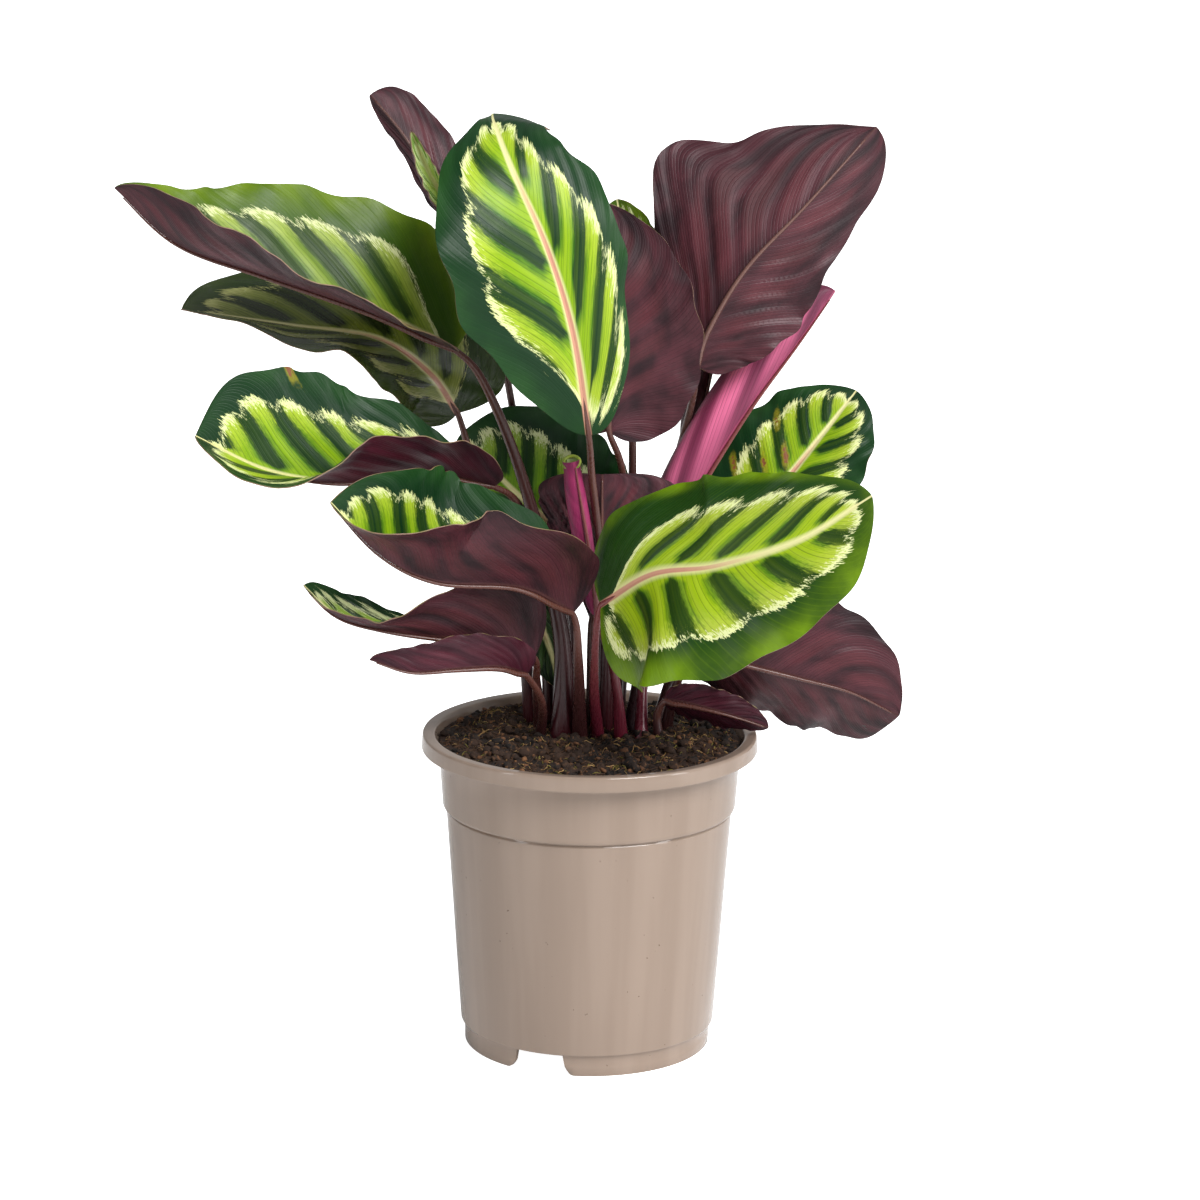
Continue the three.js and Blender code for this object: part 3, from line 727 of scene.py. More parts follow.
class Under(Enum):
    """Finishes of a blade's lower side."""

    PLUM = UnderFinish("plum underside", tone(82, 41, 49), tone(110, 50, 56), tone(34, 16, 22))
    WINE = UnderFinish("wine underside", tone(78, 28, 42), tone(108, 38, 54), tone(46, 16, 27))
    MAGENTA = UnderFinish(
        "magenta underside", tone(160, 44, 96), tone(196, 84, 130), tone(104, 26, 66),
        rib=tone(150, 50, 90),
    )
    PINK = UnderFinish(
        "pink underside", tone(146, 58, 92), tone(236, 118, 160), tone(78, 34, 54),
        rib=tone(170, 80, 110), through=0.9,
    )


class Stem(Enum):
    """Finishes of a stalk."""

    BROWN = StemFinish("brown stalk", tone(64, 16, 26), tone(56, 28, 28), tone(92, 56, 48))
    CRIMSON = StemFinish("crimson stalk", tone(128, 20, 52), tone(96, 30, 44), tone(118, 60, 60))
    GREY = StemFinish("grey stalk", tone(60, 36, 44), tone(88, 64, 60), tone(112, 80, 72))


LEAF_EDGE = PlainFinish("leaf edge", tone(150, 116, 100), tone(126, 112, 70), 0.45)
YOUNG_EDGE = PlainFinish("young leaf edge", tone(158, 172, 62), tone(120, 146, 48), 0.4)


# ------------------------------------------------------------------ leaves


@dataclass(frozen=True)
class Sides:
    """Angles of the left and of the right half of a blade, each from its base to its tip."""

    left: Series
    right: Series

    def at(self, u: float) -> Pair:
        """The angles, in radians, of both halves at a share of the length."""
        return math.radians(spread(self.left, u)), math.radians(spread(self.right, u))


def even(angle: float) -> Sides:
    """One angle for both halves of a blade, all along it."""
    return Sides((angle, angle), (angle, angle))


@dataclass(frozen=True)
class Row:
    """A blade's cross-section at the share u of its length: its place on the rib, its directions,
    and, for the left and the right half, its width, its angle at the rib and its bend."""

    u: float
    middle: Vector
    along: Vector
    aside: Vector
    up: Vector
    widths: Pair
    starts: Pair
    bends: Pair


@dataclass(frozen=True)
class Leaf:
    """A leaf: a blade bent round its rib, on a stalk. Its places are in millimetres about the
    pot's axis and its angles in degrees, as for the solid that it stands for. A pair holds the
    left half's value and the right half's, unless its comment says otherwise."""

    name: str
    slot: str
    foot: Point  # place of the stalk's foot, and its radius
    stalk: tuple[Point, ...]
    rib: tuple[Point, ...]
    width: Pair
    top: tuple[Point, ...]  # directions that the upper side faces, along the rib
    fold: Sides = even(15)  # angle between a half and the flat, at the rib
    curl: Sides = even(10)  # angle that a half bends up by, from the rib to its edge
    wave: Pair = (2, 3)  # height and number of the broad waves of the edge
    round: tuple[Pair, Pair] = ((0.5, 0.62), (0.5, 0.62))  # powers at the base and the tip
    trim: tuple[Series, Series] = ((1, 1), (1, 1))  # factors of the width, along the rib
    lobe: Pair = (0.3, 0.3)  # how far the base reaches back past the stalk, as a share
    upper: Top = Top.VIVID
    lower: Under = Under.PLUM
    stem: Stem = Stem.BROWN
    bands: float = 6.6  # feathers along the rib
    slant: Pair = (0.4, 0.4)  # share of the length by which side veins run on towards the tip
    ring: tuple[Series, Series] = ((0.66, 0.66), (0.66, 0.66))  # its place, as shares of the width
    ring_ends: Pair = (0.04, 0.95)  # shares of the length between which it runs
    ring_slant: Pair = (0.25, 0.25)  # share of the length by which its base runs on to the tip
    edge_light_share: Pair = (1.0, 1.0)  # how far in from the edge painted light pales the margin, as a share
    spots: tuple[Point, ...] = ()  # dried spots: share of the length, of the width, and radius
    scallop: float = 0.022  # rise and fall of the outline, as a share of the width
    pleat: float = 0.8  # height of the pleats between side veins
    ripple: Pair = (0.5, 9.0)  # height and number of small waves along the edge

    ROWS = 104
    COLUMNS = 64
    THICKNESS = 0.5
    LEAST_BEND = 1e-3
    RIB_WIDTH = (1.3, 0.4)  # how broad the rib is drawn, at its base and at its tip
    GROOVE = (0.5, 1.1)  # depth and half width of the groove over the rib
    UNEVEN = (1.9, 1.8)  # how often the unevenness changes, along and across
    RING_CORNER = 5.0  # how far the ring's corners are rounded
    SPOT_LENGTH = 1 / 2.4  # how long a dried spot is for its width
    UNSPOTTED = -12.0  # depth inside a dried spot where there is none
    STALK_FOOT = (138.0, 158.0)  # heights at which a stalk starts and leaves the soil
    STALK_STEPS = 48
    STALK_SIDES = 14
    TIP_RADIUS = 1.5  # radius of a stalk where its rib begins
    SHEATH = (0.8, 0.4)  # how much thicker a stalk's foot is, and up to where, as shares
    RIB_GUIDES = (0.15, 0.3)  # shares of the rib that the stalk's curve runs on to
    RIB_STEPS = 40
    RIB_END = (0.96, 0.35)  # share of the length and radius at which the raised rib ends
    RIB_SINK = (0.3, 0.1)  # how deep its back lies in the blade, and from which share on

    def length(self) -> float:
        """Length of the blade, from the rib's base straight to its tip."""
        return (Vector(self.rib[-1]) - Vector(self.rib[0])).length

    def half_width(self, half: int, u: float) -> float:
        """Width of one half of the blade.

        Args:
            half: 0 for the left half, 1 for the right one.
            u: Share of the length.

        Returns:
            The width, in millimetres.
        """
        base, tip = self.round[half]
        widest = base / (base + tip)
        outline = (u / widest) ** base * ((1 - u) / (1 - widest)) ** tip
        return self.width[half] * outline * spread(self.trim[half], u)

    def row(self, u: float) -> Row:
        """A cross-section of the blade.

        Args:
            u: Share of the length at which it lies.

        Returns:
            The cross-section.
        """
        rib = curve_through(self.rib)
        along, up = rib.along(u), curve_through(self.top).at(u)
        up = (up - along * up.dot(along)).normalized()
        widths = self.half_width(0, u), self.half_width(1, u)
        return Row(u, rib.at(u), along, along.cross(up), up, widths, self.fold.at(u), self.curl.at(u))

    def markings(self, row: Row, v: float) -> Pair:
        """Place of a point in the pattern.

        Args:
            row: The cross-section that it lies on.
            v: From -1 at the left edge to 1 at the right one.

        Returns:
            The count of feathers passed, and how far inside the ring it lies, in millimetres.
        """
        half, out = int(v >= 0), abs(v)
        begun = row.u - self.slant[half] * out**1.1
        first, last = self.ring_ends
        ways_in = (
            (spread(self.ring[half], row.u) - out) * row.widths[half],
            (last - row.u) * self.length(),
            (row.u - first - self.ring_slant[half] * out) * self.length(),
        )
        inset = -self.RING_CORNER * math.log(sum(math.exp(-way / self.RING_CORNER) for way in ways_in))
        return begun * self.bands, inset

    def scorch(self, row: Row, v: float) -> float:
        """How dried a point of the blade is.

        Args:
            row: The cross-section that it lies on.
            v: From -1 at the left edge to 1 at the right one.

        Returns:
            How deep inside a dried spot it lies, in millimetres.
        """
        half = int(v >= 0)
        depths = []
        for u, across, size in self.spots:
            ahead = row.u - u - self.slant[half] * (abs(v) - abs(across))
            beside = (v - across) * row.widths[half]
            depths.append(size - math.hypot(ahead * self.length() / self.SPOT_LENGTH, beside))
        return max(depths, default=self.UNSPOTTED)

    def sheet_point(self, row: Row, v: float, phase: float) -> Vector:
        """A point of the sheet, in millimetres about the pot's axis.

        Args:
            row: The cross-section that it lies on.
            v: From -1 at the left edge to 1 at the right one.
            phase: The count of feathers passed there.

        Returns:
            The point.
        """
        u, half, out = row.u, int(v >= 0), abs(v)
        sign = 2 * half - 1
        width, start, bend = row.widths[half], row.starts[half], row.bends[half]
        if abs(bend) < self.LEAST_BEND:
            bend = self.LEAST_BEND
        turns = 2 * math.pi
        end = start + bend * out * (1 + self.scallop * out**8 * math.cos(turns * phase))
        aside = width / bend * (math.sin(end) - math.sin(start))
        rise = width / bend * (math.cos(start) - math.cos(end))
        swell = math.sin(math.pi * u)

        # the edge's broad and small waves, the pleats, and the groove over the rib
        waved = self.wave[0] * out**2 * math.sin(turns * self.wave[1] * u + sign)
        waved += self.ripple[0] * out**6 * math.sin(turns * (self.ripple[1] * u + 0.3 * sign))
        uneven = noise.noise(Vector((self.UNEVEN[0] * phase, self.UNEVEN[1] * out, self.width[half])))
        arch = math.sin(math.pi * min(out, 0.75))
        waved += self.pleat * arch * (0.45 * math.cos(2 * turns * phase) + 1.5 * uneven)
        depth, reach = self.GROOVE
        waved -= depth * math.exp(-((out * width / reach) ** 2)) * (1 - u)
        waved *= swell
        back = self.lobe[half] * width * out**2 * (1 - u) ** 2
        return (
            row.middle
            - row.along * back
            + row.aside * (sign * (aside - waved * math.sin(end)))
            + row.up * (rise + waved * math.cos(end))
        )

    def blade(self) -> Piece:
        """Builds the blade as a waved and pleated sheet, with its thickness and its finishes."""
        rows = [self.row(cosine_share(index / self.ROWS)) for index in range(self.ROWS + 1)]
        bm = bmesh.new()
        bmesh.ops.create_grid(bm, x_segments=self.COLUMNS, y_segments=self.ROWS, size=1.0)
        layers = [bm.verts.layers.float.new(name) for name in MARKS]
        shift = sum(map(ord, self.name)) % 89  # sets each leaf's grain apart
        poles = []
        for vert in bm.verts:
            row = rows[round((vert.co.y + 1) / 2 * self.ROWS)]
            v = math.copysign(cosine_share(abs(vert.co.x)), vert.co.x)
            half = int(v >= 0)
            phase, inset = self.markings(row, v)
            vert.co = from_axis(self.sheet_point(row, v, phase))
            rib = abs(v) * row.widths[half] / blend(self.RIB_WIDTH, row.u)
            edge = min((1 - abs(v)) * row.widths[half], (1 - row.u) * self.length())
            marks = (phase + shift, inset, rib, edge / self.edge_light_share[half], row.u, self.scorch(row, v))
            for layer, mark in zip(layers, marks):
                vert[layer] = mark
            if row is rows[0] or row is rows[-1]:
                poles.append(vert)
        bmesh.ops.remove_doubles(bm, verts=poles, dist=1e-6)
        materials = (self.upper.value.material(), self.lower.value.material(), LEAF_EDGE.material())
        piece = finished(f"{self.name}_blade", bm, *materials)
        shell = piece.modifiers.new("thickness", "SOLIDIFY")
        shell.thickness = self.THICKNESS * MM
        shell.offset = 0.0
        shell.material_offset = 1
        shell.material_offset_rim = 2
        return hand_in(piece, self.slot, self.name)

    def stem_path(self) -> list[tuple[Vector, float, float]]:
        """Centre, radius and share of the length along the stalk and the raised rib."""
        x, y, radius = self.foot
        points = [(x, y, height) for height in self.STALK_FOOT] + [*self.stalk, self.rib[0]]
        reached = len(points) - 1
        points += [tuple(self.row(share).middle) for share in self.RIB_GUIDES]
        curve, spans = curve_through(points), len(points) - 1
        more, fades = self.SHEATH
        path = []
        for step in range(self.STALK_STEPS + 1):
            share = step / self.STALK_STEPS
            sheath = 1 + more * math.exp(-((share / fades) ** 2))
            thick = blend((radius, self.TIP_RADIUS), share) * sheath
            path.append((curve.at(share * reached / spans), thick, share))
        (end, end_radius), (deep, sunk) = self.RIB_END, self.RIB_SINK
        for step in range(1, self.RIB_STEPS + 1):
            share = end * step / self.RIB_STEPS
            row = self.row(share)
            thick = blend((self.TIP_RADIUS, end_radius), step / self.RIB_STEPS)
            path.append((row.middle - row.up * (thick + deep) * min(1.0, share / sunk), thick, 1.0))
        return path

    def rod(self) -> Piece:
        """Builds the stalk and the raised rib as one tapered round rod, ring by ring."""
        path = [(from_axis(centre), radius * MM, share) for centre, radius, share in self.stem_path()]
        last, radius, share = path[0]
        heading = (path[1][0] - last).normalized()
        bm = bmesh.new()
        layer = bm.verts.layers.float.new("share")
        start = Matrix.Translation(last) @ heading_matrix(heading)
        sides = self.STALK_SIDES
        bmesh.ops.create_circle(bm, segments=sides, radius=radius, cap_ends=True, matrix=start)
        for vert in bm.verts:
            vert[layer] = share
        edges = bm.edges[:]
        for index in range(1, len(path)):
            centre, thick, share = path[index]
            verts, edges = next_ring(bm, edges)
            ahead = (path[min(index + 1, len(path) - 1)][0] - last).normalized()
            swing = heading.rotation_difference(ahead)
            for vert in verts:
                vert.co = centre + swing @ ((vert.co - last) * (thick / radius))
                vert[layer] = share
            last, radius, heading = centre, thick, ahead
        bmesh.ops.contextual_create(bm, geom=edges)
        bmesh.ops.recalc_face_normals(bm, faces=bm.faces[:])
        piece = finished(f"{self.name}_stalk", bm, self.stem.value.material())
        return hand_in(piece, self.slot, self.name)

    def build(self) -> None:
        """Builds the blade and the stalk."""
        self.blade()
        self.rod()


@dataclass(frozen=True)
class RolledLeaf(Leaf):
    """A young leaf that is still rolled up: a sheet wound once and a bit round its middle, which
    takes its radius from the width and the curl."""

    turn: float = 205.0  # degrees from the rib to either edge
    looseness: float = 0.14  # how much further out the outer edge is than the rib, as a share
    open_top: bool = False

    WIDE_TO = 0.93  # share of the length up to which an open top stays wide
    LIP_AT = 0.985  # share of the length at which the lip of an open top lies
    LIP_RADIUS = 0.9
    LIP_TILT = 0.75  # how far the lip leans to the front
    LIP_STEPS = (10, 40)  # steps round its section and round the opening

    def half_width(self, half: int, u: float) -> float:
        """Width of one half, which stays wide up to an open top."""
        return super().half_width(half, min(u, self.WIDE_TO) if self.open_top else u)

    def sheet_point(self, row: Row, v: float, phase: float) -> Vector:
        """A point of the roll, in millimetres about the pot's axis.

        Args:
            row: The cross-section that it lies on.
            v: From -1 at the inner edge to 1 at the outer one.
            phase: The count of feathers passed there, which leaves a roll smooth.

        Returns:
            The point.
        """
        radius = row.widths[0] / row.bends[0]
        angle = math.radians(self.turn) * v
        far = radius * (1 + self.looseness * v)
        across, rise = far * math.sin(angle), radius - far * math.cos(angle)
        return row.middle + row.up * rise + row.aside * across

    def lip(self) -> Piece:
        """Builds the lip round the open top as a small ring that tilts to the front."""
        row = self.row(self.LIP_AT)
        radius = row.widths[0] / row.bends[0]
        sides, steps = self.LIP_STEPS
        bm = bmesh.new()
        upright = Matrix.Translation((radius, 0.0, 0.0)) @ Matrix.Rotation(math.radians(90), 4, "X")
        bmesh.ops.create_circle(bm, segments=sides, radius=self.LIP_RADIUS, matrix=upright)
        spun(bm, bm.verts[:] + bm.edges[:], steps)
        turn = heading_matrix((row.along + Vector((0.0, -self.LIP_TILT, 0.0))).normalized())
        for vert in bm.verts:
            vert.co = from_axis(row.middle + row.up * radius + turn @ vert.co)
        return hand_in(finished(f"{self.name}_lip", bm, YOUNG_EDGE.material()), self.slot, self.name)

    def build(self) -> None:
        """Builds the roll, its stalk and, where its top is open, the lip."""
        super().build()
        if self.open_top:
            self.lip()


LEAVES = (
    Leaf(
        "leaf_top_centre", "leaf_green", foot=(7, 6, 3.4),
        stalk=((8, 3, 215), (5, 0, 250), (0, -14, 295)),
        rib=(
            (-2, -28, 321), (-10, -38, 373), (-23, -42, 416), (-40, -34, 452), (-49, -14, 471),
            (-51, 6, 474),
        ),
        width=(55, 40), round=((0.8, 1.4), (0.5, 0.4)),
        trim=((0.7, 0.8, 0.95, 1, 0.92, 0.5, 0.4), (1, 0.95, 1, 0.68, 1.3)),
        top=((0.3, -1, 0.1), (0.1, -0.7, 0.9)), fold=Sides((14, 8), (14, 8)),
        curl=Sides((-16, -30), (-24, -30)), slant=(0.34, 0.52),
        ring=((0.45, 0.62, 0.7, 0.64, 0.5, 0.3), (0.9, 0.88, 0.74, 0.5, 0.34, 0.3)),
        ring_ends=(0.03, 0.82), ring_slant=(0.2, 0.0), scallop=0.035, bands=5.5,
    ),
    Leaf(
        "leaf_upper_left", "leaf_green", foot=(-14, -5, 4.6),
        stalk=((-15, -3, 215), (-34, 0, 290), (-53, -6, 340)),
        rib=((-68, -10, 359), (-108, -24, 380), (-159, -38, 400), (-201, -48, 417), (-230, -55, 445)),
        width=(38, 52), round=((0.6, 0.6), (0.42, 0.7)), trim=((1, 1), (1.15, 1.1, 1, 0.9, 0.95)),
        top=((0.35, 0.05, 1), (0.45, -0.1, 1)), fold=Sides((4, 8, 20, 44, 62), (56, 54, 52)),
        curl=Sides((10, 10), (12, -10)), wave=(2, 4), upper=Top.SUNLIT, slant=(0.4, 0.35),
        spots=((0.93, 0.3, 3.0),), bands=7.5,
    ),
    # its upper side takes painted shade
    Leaf(
        "leaf_left_second", "leaf_green", foot=(-30, 22, 3), stalk=((-38, 20, 230), (-58, 18, 290)),
        rib=((-68, 22, 321), (-82, 18, 342), (-108, 14, 360), (-150, 14, 366), (-206, 22, 372)),
        width=(34, 46), round=((0.5, 0.5), (0.45, 0.4)), trim=((1, 0.85, 0.9, 1, 1), (1, 1)),
        top=((-0.3, -1, 0.4), (0, -0.1, 1)), fold=Sides((20, 25), (15, 22)),
        curl=Sides((-10, -10), (-10, 10)), wave=(3, 4), upper=Top.SHADED,
    ),
    Leaf(
        "leaf_left_middle", "leaf_green", foot=(-15, 14, 3.2),
        stalk=((-14, 12, 215), (-23, 9, 250), (-37, 3, 279)),
        rib=(
            (-49, -8, 290), (-74, -24, 300), (-95, -38, 303), (-123, -52, 301), (-158, -66, 310),
            (-191, -74, 328),
        ),
        width=(36, 52), round=((0.25, 0.4), (0.7, 0.26)),
        trim=((0.6, 0.9, 1, 1, 1.1), (0.55, 0.65, 0.9, 1, 1)), lobe=(0, 0.3),
        top=((0.1, -0.1, 1), (0.3, -0.2, 1)), fold=Sides((40, 45, 46, 54, 0, 0), (62, 62)),
        curl=Sides((10, 10), (0, 0)), lower=Under.WINE, spots=((0.84, 0.98, 4.0), (0.8, 0.94, 2.0)),
    ),
    Leaf(
        "leaf_left_lower", "leaf_purple", foot=(-5, -8, 4), stalk=((-6, -24, 205),),
        rib=((-9, -34, 232), (-35, -50, 249), (-75, -64, 255), (-102, -80, 272), (-125, -92, 300)),
        width=(46, 54), round=((0.5, 0.62), (0.8, 0.5)), trim=((1, 0.95, 1.1, 1.05, 1), (1, 1)),
        top=((0, 0, 1), (0.5, -0.2, 1)), fold=Sides((75, 58, 62, 50, 0), (58, 60)),
    ),
    Leaf(
        "leaf_left_low", "leaf_purple", foot=(-25, 9, 3.4), stalk=((-27, -8, 190),),
        rib=(
            (-28, -22, 206), (-45, -34, 218), (-72, -46, 222), (-102, -54, 228), (-124, -60, 236),
            (-140, -64, 252),
        ),
        width=(34, 24), round=((0.4, 1.2), (0.5, 0.6)), trim=((1, 1), (0.7, 0.5, 0.5, 0.8, 1)),
        top=((0, 0.3, 1), (0.4, -0.1, 1)), fold=Sides((92, 84, 62, 28, 15, -10), (40, 35)),
        upper=Top.DEEP,
    ),
    Leaf(
        "leaf_left_lowest", "leaf_purple", foot=(-25, -3, 2.6), stalk=((-24, -19, 182),),
        rib=((-32, -33, 200), (-45, -42, 206), (-66, -50, 207), (-88, -56, 207), (-108, -60, 214)),
        width=(18, 14), round=((0.4, 0.6), (0.6, 0.5)), trim=((1, 1), (1, 0.8, 0.9, 1.2, 1.2)),
        top=((-0.1, 1, 0.5), (0, 1, 0.5)), fold=Sides((10, 20), (55, 50)), upper=Top.DEEP,
        lower=Under.WINE,
    ),
    # its upper side takes painted light, and its margin pales towards the lower edge as painted light
    Leaf(
        "leaf_front_right", "leaf_green", foot=(4, -4, 3.4), stalk=((2, -20, 195),),
        rib=((5, -36, 237), (30, -58, 258), (61, -76, 267), (100, -88, 283), (134, -92, 306)),
        width=(46, 58), round=((0.5, 0.6), (0.42, 0.7)), lobe=(0.2, 0.4),
        top=((-0.2, -1, 0.6), (0, -1, 0.7)), fold=Sides((14, 10), (4, 8)),
        curl=Sides((-20, -20), (-10, -20)), wave=(1.5, 3), upper=Top.BRIGHTLY_LIT, stem=Stem.CRIMSON,
        slant=(0.5, 0.2),
        ring=((0.6, 0.64, 0.66, 0.7), (0.74, 0.72, 0.64, 0.58, 0.56)), ring_slant=(0.45, -0.05),
        bands=6.2, edge_light_share=(0.35, 1.0),
    ),
    Leaf(
        "leaf_right_back", "leaf_green", foot=(34, 22, 3), stalk=((50, 40, 205),),
        rib=((76, 54, 246), (93, 64, 270), (109, 74, 289), (123, 84, 305), (136, 94, 320)),
        width=(42, 34), top=((-0.4, -1, 0.6), (-0.2, -1, 0.8)), fold=even(10), curl=even(-20),
        bands=5.5, spots=((0.45, -0.2, 3.4), (0.36, -0.35, 3.0), (0.6, -0.62, 2.6), (0.3, -0.7, 3.0)),
    ),
    Leaf(
        "leaf_tall_right", "leaf_purple", foot=(22, 14, 3.4),
        stalk=((28, 26, 200), (35, 48, 248), (42, 58, 285), (50, 48, 322)),
        rib=((52, 28, 345), (58, 28, 364), (76, 32, 394), (105, 42, 424), (141, 60, 462)),
        width=(41, 68), round=((0.35, 0.45), (1.4, 1.1)),
        trim=((0.6, 0.75, 1, 0.85, 1), (1, 0.9, 0.75, 0.7, 0.84, 1.1, 0.94, 1.05, 1.3)),
        top=((0.2, 1, -0.1), (0.3, 1, 0.1)), fold=Sides((25, 25), (5, 5)),
        curl=Sides((-10, -10), (-10, 10)), stem=Stem.GREY, pleat=1.7, slant=(0.3, 0.55),
    ),
    Leaf(
        "leaf_tall_centre", "leaf_purple", foot=(12, 18, 3.2),
        stalk=((14, 24, 215), (17, 24, 255), (15, 24, 292)),
        rib=((8, 6, 316), (6, 6, 344), (4, 8, 372), (3, 14, 400), (2, 26, 428)), width=(50, 36),
        round=((0.7, 0.7), (0.5, 0.6)), trim=((0.55, 0.85, 1, 1, 1), (1, 1)), lobe=(1.4, 0.3),
        top=((-0.2, 1, 0.1), (0, 1, 0.2)), fold=Sides((15, 10), (15, 15)), curl=even(-20), pleat=0.9,
    ),
    Leaf(
        "leaf_top_left", "leaf_purple", foot=(-10, 31, 3), stalk=((-14, 42, 250), (-24, 44, 310)),
        rib=((-32, 38, 361), (-54, 44, 396), (-77, 54, 427), (-97, 64, 455), (-114, 72, 474)),
        width=(22, 9), round=((0.5, 0.3), (0.5, 0.5)), top=((-0.2, 1, 0.1), (-0.2, 1, 0.1)),
        fold=Sides((20, 20), (25, 25)), curl=even(20), wave=(1.5, 3), upper=Top.DEEP,
    ),
    Leaf(
        "leaf_half_open", "leaf_purple", foot=(-20, 33, 2.4), stalk=((-30, 46, 250), (-46, 36, 350)),
        rib=((-56, 24, 392), (-64, 25, 408), (-73, 28, 425), (-83, 34, 441), (-92, 40, 460)),
        width=(14, 14), top=((0, -1, 0.1), (0, -1, 0.1)), fold=even(20), curl=even(90), wave=(0, 3),
        upper=Top.PALE,
    ),
    Leaf(
        "leaf_middle_back", "leaf_green", foot=(0, 20, 3.2), stalk=((3, 27, 200),),
        rib=((6, 32, 238), (-8, 32, 252), (-26, 32, 267), (-46, 34, 285), (-66, 36, 308)),
        width=(38, 50), round=((0.5, 0.62), (0.5, 0.35)), top=((0, -1, 0.15), (-0.1, -1, 0.15)),
        fold=even(10), curl=even(-10), upper=Top.DEEP,
    ),
    Leaf(
        "leaf_middle_dark", "leaf_purple", foot=(1, 12, 2.8), stalk=((0, 12, 185),),
        rib=((0, 12, 215), (3, 12, 236), (5, 11, 256), (5, 12, 275), (5, 14, 292)), width=(40, 34),
        round=((1.2, 0.25), (1.2, 0.25)), top=((0, 1, 0.1), (0, 1, 0.1)), upper=Top.DEEP, pleat=2.4,
        slant=(0.9, 0.9),
    ),
    Leaf(
        "leaf_right_low", "leaf_purple", foot=(38, 8, 3.2), stalk=((45, 4, 190),),
        rib=((55, 0, 204), (80, 2, 197), (106, 4, 190), (132, 8, 182), (157, 14, 168)), width=(39, 46),
        round=((0.4, 0.15), (0.5, 0.7)), top=((0.2, 1, 0.3), (0.3, 1, 0.2)), upper=Top.DEEP, pleat=1.1,
        spots=((0.93, -0.55, 2.4), (0.97, -0.2, 2.2), (0.9, -0.75, 2.0)),
    ),
    Leaf(
        "leaf_over_rim", "leaf_purple", foot=(35, -4, 2.4), stalk=((34, -4, 172),),
        rib=((38, -6, 180), (48, -7, 179), (62, -8, 176), (76, -8, 172), (90, -7, 167)), width=(14, 12),
        top=((0.1, 1, 0.6), (0.2, 1, 0.3)), wave=(1, 3), upper=Top.DEEP, lower=Under.WINE,
    ),
    # its upper side takes painted shade, for a blade hanging in shadow
    Leaf(
        "leaf_hanging_dark", "leaf_purple", foot=(-21, 22, 2.8), stalk=((-23, 22, 198), (-31, 22, 230)),
        rib=((-32, 15, 238), (-29, 8, 228), (-24, 6, 213), (-19, 5, 199), (-16, 5, 184)),
        width=(11, 14), top=((0, -1, 0.3), (0, -1, 0)), wave=(1, 3), upper=Top.SHADOWED,
    ),
    Leaf(
        "leaf_young_back", "leaf_green", foot=(14, 33, 2.8), stalk=((20, 44, 240), (20, 52, 320)),
        rib=((20, 54, 350), (19, 55, 370), (17, 56, 390), (14, 58, 408), (11, 60, 424)), width=(22, 22),
        top=((0, -1, 0.1), (0, -1, 0.1)), fold=even(20), wave=(1, 3), upper=Top.SUNLIT,
    ),
)
ROLLED_LEAVES = (
    RolledLeaf(
        "rolled_leaf_front", "leaf_pink", foot=(16, -5, 3.4), stalk=((12, -10, 195),),
        rib=((3, -13, 226), (0, -14, 248), (-3, -15, 268), (-6, -16, 286), (-9, -17, 305)),
        width=(13, 13), round=((0.3, 0.2), (0.3, 0.2)), top=((-0.4, 1, 0.1), (-0.4, 1, 0.1)),
        curl=even(150), upper=Top.PALE, lower=Under.MAGENTA, stem=Stem.CRIMSON, open_top=True,
    ),
    RolledLeaf(
        "rolled_leaf_right", "leaf_pink", foot=(26, -2, 3.6), stalk=((27, 14, 198),),
        rib=((33, 31, 246), (54, 37, 281), (79, 46, 320), (103, 54, 352), (122, 62, 378)),
        width=(27, 27), round=((0.35, 0.35), (0.35, 0.35)), top=((-0.8, 0.6, 0.4), (-0.8, 0.6, 0.4)),
        curl=even(145), lower=Under.PINK, stem=Stem.CRIMSON, slant=(0.9, 0.9), bands=2.6,
    ),
    RolledLeaf(
        "rolled_leaf_dark", "leaf_purple", foot=(24, 27, 2.8), stalk=((34, 50, 215),),
        rib=((50, 68, 282), (53, 67, 304), (57, 64, 324), (61, 61, 344), (64, 58, 364)), width=(13, 13),
        round=((0.45, 0.35), (0.45, 0.35)), top=((-0.8, 0.6, 0.4), (-0.8, 0.6, 0.4)), curl=even(145),
        upper=Top.DEEP,
    ),
)


# ------------------------------------------------------------------ pot


def near(radius: float, height: float, *steps: Pair) -> list[Pair]:
    """Points of a profile, each given by its small step from one corner."""
    return [(radius + out, height + up) for out, up in steps]


